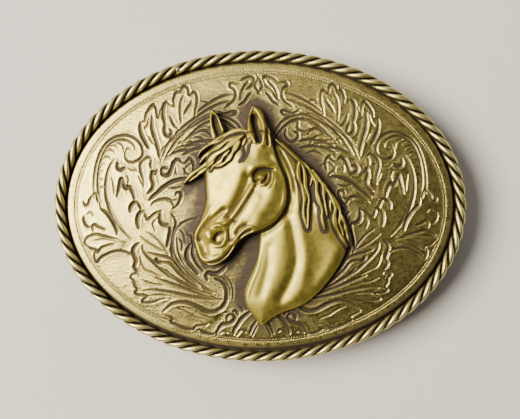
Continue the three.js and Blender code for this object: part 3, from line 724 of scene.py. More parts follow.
def strap_loop():
    """The swinging loop: one bar bent round from eye to eye, cast in one with its eyes, heels and pins."""
    bar, thickness, reach, corner, arm = 3.0, 2.6, 19.0, 4.5, 21.5
    section = rounded_outline(bar / 2, thickness / 2, 0.6)
    x_bend, y_bend = reach - corner, arm - corner
    bend = np.linspace(0, np.pi / 2, 13)
    stations = [(-np.pi / 2, x, -y_bend) for x in np.linspace(0.0, x_bend, 8)[:-1]]
    stations += [(turn - np.pi / 2, x_bend, -y_bend) for turn in bend]
    stations += [(0.0, x_bend, y) for y in np.linspace(-y_bend, y_bend, 14)[1:-1]]
    stations += [(turn, x_bend, y_bend) for turn in bend]
    stations += [(np.pi / 2, x, y_bend) for x in np.linspace(x_bend, 0.0, 8)[1:]]
    rings = []
    for turn, x, y in stations:
        out = np.array([math.cos(turn), math.sin(turn)])
        ring = [x, y] + (corner + section[:, :1]) * out
        rings.append(np.column_stack([ring, section[:, 1]]))
    reach_out = reach + bar / 2 - 0.5
    lean = math.asin(HINGE_Z / math.hypot(reach_out, thickness / 2)) - math.atan2(thickness / 2, reach_out)
    lean_turn = np.array([
        [math.cos(lean), 0, math.sin(lean)],
        [0, 1, 0],
        [-math.sin(lean), 0, math.cos(lean)],
    ])
    points, faces = ring_skin(rings)
    points = points @ lean_turn.T + [HINGE_X, 0, HINGE_Z]
    parts = [mesh_object("loop_bar", points, faces)]

    def bar_along_y(name, radius, low, high):
        chamfer = 0.3
        spots = [(radius - chamfer, low), (radius, low + chamfer)]
        spots += [(radius, high - chamfer), (radius - chamfer, high)]
        turns = 2 * np.pi * np.arange(40) / 40
        rings = [
            np.column_stack([HINGE_X + r * np.cos(turns), np.full(40, y), HINGE_Z + r * np.sin(turns)])
            for r, y in spots
        ]
        return mesh_object(name, *ring_skin(rings))

    heel_length, heel_height, pin_start = 3.6, 3.7, 14.0
    heel = [(0, 0), (heel_length, 0), (heel_length, heel_height), (0, heel_height)]
    heel = np.array(heel) + [HINGE_X, HINGE_Z]
    for side in (-1, 1):
        low, high = sorted((side * (arm - bar / 2), side * (arm + bar / 2)))
        parts.append(bar_along_y("loop_eye", 2.0, low, high))
        parts.append(bar_along_y("loop_pin", 1.4, *sorted((side * pin_start, side * arm))))
        parts.append(extruded("loop_heel", heel, [], low, high))
    piece = welded("strap_loop_cast", parts, 0.22)
    return fit(piece, "loop_steel", "belt_loop", "belt_loop")


def together(name, parts):
    """Closed shapes joined into one object, each turned outwards first."""
    work = bmesh.new()
    for part in parts:
        outward(part)
        work.from_mesh(part.data)
        old = part.data
        bpy.data.objects.remove(part)
        bpy.data.meshes.remove(old)
    mesh = bpy.data.meshes.new(name)
    work.to_mesh(mesh)
    work.free()
    piece = bpy.data.objects.new(name, mesh)
    bpy.context.scene.collection.objects.link(piece)
    return piece


def welded(name, parts, voxel):
    """Overlapping closed shapes made one skin, with softened joins."""
    piece = together(name, parts)
    applied(piece, "REMESH", mode="VOXEL", voxel_size=voxel * MM, use_smooth_shade=True)
    applied(piece, "SMOOTH", factor=0.5, iterations=4)
    piece.data.shade_smooth()
    return piece


PRONG_X = (pad_low[0] + pad_high[0]) / 2


def hook_pad():
    """The oval pad that spreads the prong's pull."""
    a, b = (pad_high[0] - pad_low[0]) / 2, (pad_high[1] - pad_low[1]) / 2
    top, bottom = pad_high[2], pad_low[2]
    profile = [(1.5, top), (0.1, top), (0.0, top - 0.12), (0.0, bottom + 0.45)]  # inset, and level
    profile += [(0.08, bottom + 0.2), (0.24, bottom + 0.05), (0.5, bottom), (2.2, bottom)]
    rings = [oval(a - inset, b - inset, z, 96, PRONG_X) for inset, z in profile]
    piece = mesh_object("hook_pad_cast", *ring_skin(rings))
    outward(piece)
    return fit(piece, "hook_brass", "buckle", "hook_pad")


def hook_prong():
    """The leaning prong, from its flared root to its rounded bulb, and the tenon that holds it."""
    seat = pad_low[2] - SEAT_GAP
    # Lean along the oval, height over the pad, and radius, from root to end.
    line = [
        (0, 0, 2.3), (-0.1, 0.7, 1.95), (-0.1, 1.6, 1.75), (0.1, 2.5, 1.65), (0.6, 3.4, 1.65),
        (1.3, 4.15, 1.8), (2.1, 4.6, 1.78), (2.8, 4.85, 1.5), (3.4, 5.0, 1.0), (3.75, 5.05, 0.4),
    ]
    fine = smooth_line(line, steps=5)
    along = np.gradient(fine[:, :2], axis=0)
    along[0] = (0, 1)
    along /= np.linalg.norm(along, axis=1)[:, None]
    turns = 2 * np.pi * np.arange(32) / 32
    rings = []
    for (lean, height, radius), (ax, az) in zip(fine, along):
        across = radius * np.cos(turns)
        x, z = PRONG_X + lean + across * az, seat - height + across * ax
        rings.append(np.column_stack([x, radius * np.sin(turns), z]))
    horn = mesh_object("prong_horn", *ring_skin(rings))
    peened = [(1.5, 0.0), (2.3, 0.0), (2.4, 0.15), (2.1, 0.55), (1.2, 0.7)]  # radius, and rise
    tenon = [(1.5, seat - 0.4)] + [(radius, PLATE_FRONT + SEAT_GAP + rise) for radius, rise in peened]
    rings = [oval(radius, radius, z, 32, PRONG_X) for radius, z in tenon]
    piece = together("hook_prong_horn", [horn, mesh_object("prong_tenon", *ring_skin(rings))])
    points = np.clip(points_of(piece.data), prong_low, prong_high)
    piece.data.vertices.foreach_set("co", (points * MM).astype(np.float32).ravel())
    piece.data.update()
    piece.data.shade_smooth()
    return fit(piece, "hook_brass", "buckle", "hook_prong")


def rope_joint():
    """The bead of solder over the rope's meeting ends: a squat, slightly lumpy drop."""
    low, high = box_mm("rope_joint")
    x, y = math.cos(ROPE_JOINT_TURN), math.sin(ROPE_JOINT_TURN)
    middle = np.array([ROPE_A * x, ROPE_B * y, (low[2] + high[2]) / 2])
    out = math.atan2(y / ROPE_B, x / ROPE_A)
    rings = []
    for up in np.radians(np.linspace(-84, 84, 15)):
        turns = 2 * np.pi * np.arange(28) / 28
        lump = 1 + 0.05 * np.sin(3 * turns + 2 * up) + 0.03 * np.cos(5 * turns)
        along, across = 0.85 * math.cos(up) * np.sin(turns) * lump, 1.2 * math.cos(up) * np.cos(turns) * lump
        x = middle[0] + across * math.cos(out) - along * math.sin(out)
        y = middle[1] + across * math.sin(out) + along * math.cos(out)
        rings.append(np.column_stack([x, y, np.full(28, middle[2] + 1.12 * math.sin(up))]))
    piece = mesh_object("rope_joint_bead", *ring_skin(rings))
    outward(piece)
    return fit(piece, "solder", "buckle", "rope_joint")


# ---- Horse head: the sculpted emblem -----------------------------------------------------------------
# Drawn about its own origin, which EMBLEM_PLACE puts on the buckle.

EMBLEM_PLACE = np.array([-0.05, 0.15])
HORSE_EDGE = [
    (-1.7, 22.6), (-0.7, 22.0), (0.1, 21.4), (0.8, 20.3), (1.2, 18.6), (1.6, 17.6), (2.2, 16.9),
    (2.5, 15.2), (3.6, 15.0), (5.0, 14.0), (6.6, 12.5), (8.4, 10.9), (9.7, 9.8), (11.0, 9.0),
    (12.3, 7.5), (13.6, 5.9), (15.1, 4.3), (16.4, 2.4), (17.5, 0.6), (18.4, -1.5), (19.1, -3.5),
    (19.9, -5.1), (20.5, -7.0), (20.7, -9.2), (19.9, -9.4), (19.2, -9.9), (18.9, -11.2), (17.6, -13.8),
    (15.9, -16.3), (13.4, -19.3), (10.9, -21.5), (8.5, -22.9), (5.6, -23.9), (3.2, -25.1), (1.6, -26.3),
    (0.4, -27.0), (-0.8, -25.8), (-2.2, -24.0), (-3.2, -22.3), (-3.5, -20.5), (-3.3, -18.7),
    (-2.5, -16.5), (-1.4, -14.0), (-0.6, -11.5), (-0.2, -9.0), (0.0, -6.6), (-1.0, -6.1), (-2.7, -6.8),
    (-4.3, -7.9), (-5.5, -9.4), (-6.6, -11.0), (-7.9, -12.3), (-9.5, -13.3), (-11.4, -13.5),
    (-12.7, -12.9), (-13.6, -11.9), (-14.3, -10.3), (-14.8, -8.5), (-14.9, -6.6), (-14.4, -5.0),
    (-13.5, -3.2), (-12.8, -1.5), (-12.3, 0.3), (-12.2, 2.4), (-12.4, 4.6), (-12.7, 6.6), (-14.2, 6.2),
    (-15.8, 5.2), (-17.1, 4.6), (-16.3, 6.3), (-14.9, 7.9), (-14.1, 9.2), (-14.0, 11.0), (-12.8, 12.8),
    (-11.0, 14.0), (-10.8, 15.4), (-11.3, 18.4), (-11.1, 21.4), (-10.2, 21.0), (-9.0, 19.0),
    (-8.0, 16.8), (-6.6, 16.8), (-4.6, 17.2), (-3.3, 16.8), (-3.1, 18.0), (-2.6, 20.0), (-2.1, 21.5),
]



def edge_between(first, last):
    """The outline's points from one to another, in either direction."""
    i, j = HORSE_EDGE.index(first), HORSE_EDGE.index(last)
    return HORSE_EDGE[i : j + 1] if i < j else HORSE_EDGE[i : j - 1 : -1]


# The head alone, without the ears and hair: brow, nose, muzzle, chin and the round of the jaw.
HEAD_EDGE = [
    (-12.4, 8.0), *edge_between((-12.4, 4.6), (-1.0, -6.1)), (0.8, -5.4), (2.6, -4.4), (4.2, -2.9),
    (5.4, -1.0), (6.1, 1.4), (6.0, 3.8), (5.5, 6.2), (4.4, 8.8), (3.5, 11.4), (2.8, 14.0), (1.6, 16.4),
    (-3.4, 16.2), (-8.0, 15.0), (-12.0, 11.5),
]
# The front of the face, from the forelock to the top lip: the nose's broad plane slopes up from it.
FACE_FRONT = [(-12.6, 12.0), *HEAD_EDGE[:9]]
# The neck under the mane, from the poll down to the chest and up the throat.
NECK_EDGE = [
    (2.0, 16.0), (4.8, 14.2), (8.2, 11.0), (11.0, 8.8), (14.3, 4.8), (17.1, 0.6), (19.0, -4.0),
    (19.6, -9.4),
    *edge_between((18.9, -11.2), (-0.2, -9.0)), (0.2, -5.0), (0.6, 3.0), (1.0, 10.0),
]

# Swells of the head: a line along each, its half-width, and how far it rises or sinks.
HEAD_SWELLS = {
    "forehead": ([(-4.3, 10.2), (-4.5, 6.8), (-6.1, 3.0), (-8.3, -0.3), (-10.0, -2.1)], 1.9, 0.35),
    "nose_side": ([(-2.6, 6.4), (-3.1, 4.4), (-4.0, 2.2), (-5.4, -0.5), (-6.8, -2.5)], 0.95, -0.6),
    "nasal_hollow": ([(-8.0, -1.0), (-9.4, -2.2), (-11.0, -3.6), (-12.5, -5.0), (-13.4, -6.5),
                      (-13.7, -7.6)], 0.62, -0.62),
    "face_crest": ([(-1.9, 5.8), (-1.7, 4.7), (-2.1, 3.7), (-3.1, 2.2), (-4.5, 0.0), (-5.8, -1.9),
                    (-7.3, -3.7), (-9.1, -4.5)], 0.38, 0.5),
    "crest_groove": ([(-0.9, 3.9), (-2.1, 2.2), (-3.4, -0.1), (-4.8, -2.2), (-5.6, -3.7)], 0.4, -0.42),
    "muzzle_back": ([(-5.9, -3.6), (-6.6, -4.8), (-6.9, -6.2), (-6.7, -7.6)], 0.72, -0.55),
    "cheek_edge": ([(3.1, 5.2), (2.3, 2.1), (1.0, -0.2), (-0.3, -1.8), (-0.8, -3.6)], 1.9, 0.55),
    "cheek_front": ([(-0.4, 1.6), (-1.6, -0.6), (-2.8, -2.6)], 0.8, 0.15),
    "jaw_rim": ([(3.2, 11.4), (3.9, 9.6), (5.0, 7.4), (5.4, 5.2), (5.5, 2.7), (5.3, 0.9), (4.8, -1.0)],
                 0.4, 0.22),
    "temple": ([(2.2, 10.6), (3.4, 8.6), (4.2, 6.6)], 0.8, -0.3),
    "ear_root": ([(-0.4, 12.8), (-0.8, 10.6), (-1.8, 8.9)], 1.5, 0.35),
    "eye_socket": ([(-0.4, 6.35), (1.0, 6.45), (1.8, 6.55)], 1.5, -0.5),
    "brow": ([(-2.4, 6.85), (-1.4, 8.25), (0.4, 8.95), (2.2, 9.05), (3.6, 8.55)], 0.6, 0.42),
    "upper_gap": ([(-1.4, 5.75), (-1.2, 6.95), (-0.3, 7.75), (1.0, 7.95), (2.1, 7.85), (2.9, 8.05)],
                   0.4, -1.1),
    "corner_gap": ([(-1.3, 5.65), (-0.7, 5.05)], 0.36, -0.9),
    "side_gap": ([(1.5, 7.45), (1.45, 6.45), (1.1, 5.45), (0.3, 4.95)], 0.24, -0.8),
    "eyeball": ([(0.0, 6.25), (0.3, 6.15)], 0.7, 1.1),
    "pupil": ([(0.2, 6.25), (0.3, 6.15)], 0.2, -0.35),
    "lid_rim": ([(1.9, 7.45), (1.85, 6.45), (1.55, 5.45), (0.8, 4.65), (-0.2, 4.45)], 0.24, 0.5),
    "lid_line": ([(2.3, 7.65), (2.25, 6.45), (1.95, 5.25), (1.2, 4.25)], 0.2, -0.45),
    "lid_fold": ([(2.75, 7.45), (2.7, 6.05), (2.4, 4.85), (1.5, 3.85)], 0.28, 0.35),
    "outer_fold": ([(3.4, 7.05), (3.5, 5.55), (3.1, 4.35)], 0.4, 0.15),
    "tear_gap": ([(-0.9, 4.75), (-1.2, 4.05)], 0.25, -0.5),
    "front_rim": ([(-10.8, -0.2), (-11.9, -2.5), (-13.4, -4.5), (-14.3, -6.1), (-14.4, -7.8),
                   (-13.9, -9.5), (-13.3, -11.1), (-12.5, -12.1), (-11.2, -12.2), (-9.8, -11.9),
                   (-8.3, -11.2)], 0.36, 0.3),
    "front_plane": ([(-12.9, -7.8), (-12.4, -9.2), (-12.1, -10.6)], 0.85, -0.6),
    "nostril_disc": ([(-11.6, -6.0), (-11.3, -7.0)], 1.1, 0.6),
    "nostril": ([(-8.4, -6.0), (-9.3, -6.2), (-10.0, -7.0), (-10.1, -8.1)], 0.4, -1.25),
    "nostril_floor": ([(-9.1, -7.2), (-9.2, -7.8)], 0.7, -0.6),
    "nostril_wing": ([(-10.5, -4.7), (-9.1, -4.4), (-7.9, -5.3), (-7.5, -6.5), (-7.8, -7.8),
                      (-8.5, -8.8), (-10.2, -9.1)], 0.4, 0.5),
    "upper_lip": ([(-10.6, -10.8), (-8.5, -10.5)], 0.85, 0.3),
    "mouth": ([(-12.0, -12.9), (-11.2, -12.8), (-9.6, -12.4), (-7.9, -11.5), (-7.0, -10.4),
               (-6.2, -9.3), (-5.9, -8.8)], 0.27, -0.85),
    "lower_lip": ([(-11.2, -13.3), (-9.8, -13.1), (-8.2, -12.4), (-6.8, -11.1), (-5.9, -9.9),
                   (-5.2, -9.1)], 0.34, 0.35),
    "lip_corner": ([(-6.1, -8.4), (-5.7, -7.8), (-5.0, -7.0), (-4.1, -6.0), (-3.0, -5.1), (-2.1, -4.7),
                    (-1.0, -5.1)], 0.32, 0.5),
    "jaw_hollow": ([(-5.6, -6.5), (-4.7, -5.2), (-3.8, -4.5), (-2.9, -4.1)], 0.36, -0.45),
    "jaw_groove": ([(-4.8, -7.5), (-4.0, -6.6), (-3.1, -5.9), (-1.7, -5.4)], 0.3, -0.5),
    "jaw_edge": ([(-4.4, -7.6), (-3.6, -6.9), (-2.2, -6.2), (-1.2, -5.9)], 0.28, 0.3),
}
NECK_SWELLS = {
    "throat_rim": ([(0.2, -9.0), (-0.5, -13.6), (-2.0, -17.6), (-2.9, -20.8), (-1.6, -24.0),
                    (0.2, -26.0)], 0.42, 0.2),
    "throat_hollow": ([(1.9, -9.4), (1.8, -13.4), (1.0, -17.0), (0.2, -19.8)], 1.0, -0.22),
    "front_band": ([(5.4, -4.6), (5.0, -9.6), (4.4, -14.4), (2.9, -18.4), (1.4, -22.0)], 2.2, 0.27),
    "side_groove": ([(6.4, -2.2), (7.4, -7.2), (8.0, -12.0), (6.9, -16.5), (4.6, -21.0)], 1.1, -0.42),
    "side_band": ([(8.1, -0.6), (9.4, -6.0), (10.2, -11.0), (10.1, -15.4), (9.2, -18.6), (7.4, -21.2)],
                   1.2, 0.22),
    "shoulder": ([(13.6, -8.0), (13.4, -12.0), (12.0, -16.2)], 2.2, -0.2),
    "chest_light": ([(17.2, -9.8), (15.4, -13.8), (13.4, -16.6)], 1.3, 0.14),
    "poll_strand_1": ([(3.6, 13.0), (5.2, 10.0), (6.6, 6.4), (7.3, 2.4)], 0.34, 0.2),
    "poll_strand_2": ([(4.4, 13.0), (6.4, 9.6), (7.8, 6.0), (8.3, 2.0), (8.6, -1.2)], 0.34, 0.2),
    "poll_gap": ([(4.0, 13.0), (5.8, 9.8), (7.2, 6.2), (7.8, 2.2)], 0.24, -0.22),
    "behind_jaw": ([(4.6, 11.6), (6.2, 7.4), (7.0, 3.4), (6.8, 0.2), (5.4, -2.6), (3.4, -4.6),
                    (0.9, -6.2)], 0.75, -0.45),
    "mane_bed": ([(9.4, 8.4), (10.6, 5.0), (11.4, 1.8), (11.8, -1.4)], 1.5, -0.85),
    "mane_bed_outer": ([(12.4, 6.6), (14.4, 3.0), (15.6, 0.0), (16.8, -2.8), (18.0, -6.0)], 1.8, -0.85),
}

FAR_EAR = [(-11.2, 21.3), (-11.3, 18.4), (-10.6, 14.6), (-7.8, 15.4), (-8.7, 18.8), (-10.0, 20.9)]
NEAR_EAR = [
    (-1.7, 22.7), (-2.5, 20.4), (-3.1, 17.8), (-2.7, 15.6), (-1.4, 13.8), (0.6, 12.6), (2.4, 13.4),
    (2.4, 16.2), (1.6, 18.2), (0.9, 20.4), (-0.2, 22.0),
]
EAR_SWELLS = {
    "far_back": ([(-11.0, 20.6), (-10.9, 18.2), (-10.2, 15.4)], 0.35, 0.3),
    "far_cup": ([(-10.3, 19.6), (-10.1, 17.8), (-9.4, 15.8)], 0.5, -1.1),
    "far_rim": ([(-10.9, 21.2), (-9.7, 20.0), (-8.9, 18.2), (-8.3, 16.6)], 0.42, 0.75),
    "near_cup": ([(-1.5, 19.8), (-1.3, 18.2), (-0.9, 16.6), (-0.5, 15.2), (-0.3, 14.4)], 0.5, -1.7),
    "near_rim": ([(-1.8, 22.0), (-2.4, 19.8), (-2.5, 17.6), (-2.0, 15.6), (-1.1, 13.9)], 0.36, 0.5),
    "near_back": ([(-1.4, 22.0), (-0.2, 20.4), (0.7, 18.2), (0.9, 16.0), (0.6, 13.6)], 0.62, 0.9),
    "root_rim": ([(2.1, 16.6), (2.3, 15.0), (2.4, 13.4)], 0.35, 0.4),
    "root_groove": ([(1.6, 17.2), (1.6, 15.2), (1.7, 13.4)], 0.32, -0.4),
}
SWELL_REACH = 2.4  # how many half-widths a swell is followed out to

# Locks of hair: points from root to tip, half-width, and height over the head or neck.
FORELOCK = [
    ([(-3.2, 16.6), (-5.2, 16.7), (-7.4, 15.8), (-9.6, 14.4), (-11.6, 13.4), (-13.3, 12.2),
      (-13.8, 10.9)], 0.7, 1.1),
    ([(-4.6, 15.4), (-7.0, 14.6), (-8.8, 13.2), (-10.8, 12.2), (-12.4, 10.8), (-13.5, 9.4)], 0.66, 1.3),
    ([(-3.8, 15.6), (-5.4, 14.4), (-6.8, 13.2), (-8.4, 12.0), (-10.0, 11.1), (-11.6, 9.5), (-13.6, 8.0),
      (-15.4, 6.7), (-16.9, 4.9)], 0.72, 1.5),
    ([(-9.8, 10.7), (-11.2, 9.0), (-12.8, 7.7), (-14.4, 6.3), (-15.8, 5.3)], 0.5, 1.1),
    ([(-4.6, 13.9), (-5.6, 12.4), (-6.4, 11.0), (-7.4, 9.7), (-8.6, 8.9), (-9.8, 8.6)], 0.62, 1.4),
    ([(-6.8, 12.0), (-8.0, 10.9), (-8.8, 9.7), (-10.2, 8.8), (-11.0, 7.6)], 0.42, 1.2),
    ([(-3.2, 14.8), (-3.9, 12.9), (-3.7, 11.2), (-4.5, 9.6)], 0.36, 0.6),
    ([(-2.2, 14.6), (-2.5, 12.8), (-2.9, 11.2), (-3.8, 9.8)], 0.32, 0.45),
]
MANE = [
    ([(8.8, 10.0), (8.6, 8.0), (8.7, 6.0), (9.5, 3.9), (10.0, 1.8), (9.8, 0.0), (9.7, -2.0),
      (10.4, -5.0)], 0.5, 1.1),
    ([(3.6, 14.6), (5.2, 13.3), (6.8, 12.0), (8.3, 10.4), (9.6, 8.6), (10.1, 6.6), (10.2, 4.4),
      (10.9, 1.8), (10.8, -0.8), (10.7, -3.2), (10.6, -5.2)], 0.5, 1.35),
    ([(4.8, 14.0), (6.6, 12.6), (8.2, 11.0), (10.0, 9.2), (11.2, 7.6), (11.6, 6.0), (11.2, 4.4)],
      0.46, 1.2),
    ([(10.6, 8.6), (11.8, 6.9), (12.6, 5.2), (12.6, 3.2), (13.0, 1.2), (13.8, -0.8), (13.8, -2.8),
      (14.4, -5.4)], 0.6, 1.3),
    ([(11.8, 7.8), (13.2, 5.8), (14.2, 4.0), (14.3, 2.0), (14.6, 0.0), (15.0, -2.2)], 0.46, 1.3),
    ([(13.4, 5.6), (14.9, 3.7), (15.7, 2.0), (15.7, 0.2), (15.9, -1.4)], 0.44, 1.2),
    ([(15.2, 3.2), (16.4, 1.2), (16.9, -0.6), (16.6, -2.4), (16.9, -4.4), (17.7, -6.2), (18.6, -7.6),
      (19.6, -9.2)], 0.62, 1.4),
    ([(16.6, 1.6), (17.7, -0.6), (18.0, -2.4), (17.8, -4.0), (18.4, -5.6), (18.7, -7.0)], 0.46, 1.3),
    ([(18.2, -2.2), (19.0, -4.2), (19.4, -6.0), (20.0, -8.2)], 0.44, 1.2),
]
HORSE_WALL = 1.5  # height of the emblem's side at its outline
HORSE_STEP = 0.12
HORSE_TOP = 5.05  # highest point over the face plate
MANE_GAP, FORELOCK_GAP = 0.5, 0.12  # how far the dark between locks reaches from them


def hair_lock(grid, heights, base, points, width, rise):
    """A lock that lies over what is there: round, tapering to its tip, and parted along its middle."""
    away, along = grid.near(smooth_line(points), width * 1.8)
    body = np.maximum(width * (0.8 + 0.45 * np.sin(9 * along) ** 2) * (1 - 0.6 * along**3), 0.18)
    share = np.clip(away / body, 0, 1)
    crown = rise * (1 - 0.4 * along**2) * np.sqrt(1 - share**2)
    parting = 0.22 * np.exp(-((away / (0.22 * width + 0.04)) ** 2)) * np.sin(np.pi * along)
    return np.where(away < body, np.maximum(heights, base + crown - parting), heights)


def rounded(grid, edge, shoulder):
    """Which points are inside an outline, and how far up its rounded shoulder they are, from 0 to 1."""
    line = smooth_line(edge, closed=True)
    within = grid.inside(line)
    away, _ = grid.near(line, shoulder)
    share = np.clip(away / shoulder, 0, 1)
    return within, np.where(within, np.sqrt(1 - (1 - share) ** 2), 0.0)


def swelled(grid, heights, swells):
    """Heights with each swell added; a narrow one fades towards its ends."""
    for points, width, rise in swells.values():
        away, along = grid.near(smooth_line(points), width * SWELL_REACH)
        fade = np.minimum(1, 5 * np.minimum(along, 1 - along) + 0.4) if width < 0.6 else 1.0
        heights = heights + rise * fade * np.exp(-((away / width) ** 2)) * (away < width * SWELL_REACH)
    return heights


def ears(grid, heights, inside):
    """The far ear, narrow behind the forelock, and the near ear: a cup with a rolled rim and a broad back."""
    near_rise = 3.6 - 0.25 * np.clip(grid.y - 14, 0, 9)
    for edge, rise in ((FAR_EAR, 1.9), (NEAR_EAR, near_rise)):
        within = grid.inside(smooth_line(edge, closed=True))
        heights = np.where(within, np.maximum(heights, rise), heights)
    heights = blurred(heights, 3)
    for points, width, rise in EAR_SWELLS.values():
        away, _ = grid.near(smooth_line(points), width * SWELL_REACH)
        heights = heights + rise * np.exp(-((away / width) ** 2)) * (away < width * SWELL_REACH) * inside
    return heights


def horse_heights(grid):
    """Heights of the horse head over the face plate, which points are inside it, and how dark it is, with
    painted shade on its steep sides.
    """
    inside, _ = rounded(grid, HORSE_EDGE, 1.0)
    in_neck, neck_edge = rounded(grid, NECK_EDGE, 2.2)
    _, neck_body = rounded(grid, NECK_EDGE, 7.0)
    in_head, head_edge = rounded(grid, HEAD_EDGE, 1.1)
    _, head_body = rounded(grid, HEAD_EDGE, 4.5)
    front, _ = grid.near(smooth_line(FACE_FRONT), 9.0)
    neck = HORSE_WALL - 0.5 + 0.6 * neck_edge + 0.7 * neck_body
    neck = swelled(grid, neck, NECK_SWELLS)
    head = HORSE_WALL + 0.85 * head_edge + 0.45 * head_body + 1.75 * (1 - np.exp(-front / 5.0))
    head = swelled(grid, head, HEAD_SWELLS)
    heights = np.where(in_head, head, np.where(in_neck, neck, HORSE_WALL - 0.6))
    heights = blurred(heights, 2)
    heights = ears(grid, heights, inside)
    calm = blurred(heights, 40)
    bare, parted = heights, np.zeros(heights.shape)
    groups = [(MANE, calm - 0.2, MANE_GAP), (FORELOCK, np.maximum(calm - 0.2, 2.0), FORELOCK_GAP)]
    for locks, base, gap in groups:
        for points, width, rise in locks:
            heights = hair_lock(grid, heights, base, points, width, rise)
            away, along = grid.near(smooth_line(points), width + gap)
            parted = np.maximum(parted, (away < width + gap) * np.minimum(1, 4 * along))
    parted = blurred(parted * (heights - bare < 0.25), 2)
    heights = blurred(np.clip(heights, 0.5, HORSE_TOP), 1)
    crease = np.clip((blurred(heights, 10) - heights - 0.012) / 0.05, 0, 1)
    hollow = np.clip((blurred(heights, 50) - heights - 0.05) / 0.3, 0, 1)
    steepness = np.hypot(*np.gradient(heights, grid.step))
    # Painted shade on the steep sides, as dark as the reflection they would catch.
    hollow = np.maximum(hollow, 0.8 * eased(1.0, 2.4, blurred(steepness, 1)))
    hollow = np.maximum(np.maximum(blurred(crease, 2), hollow), 0.85 * parted)
    return heights, inside, np.clip(hollow, 0, 1)


# ---- Stamped foliage of the face plate -----------------------------------------------------------------
# Cuts on the left half, each a list of points; the right half mirrors them. A cut has a half-width and a
# depth, and tapers at both ends.

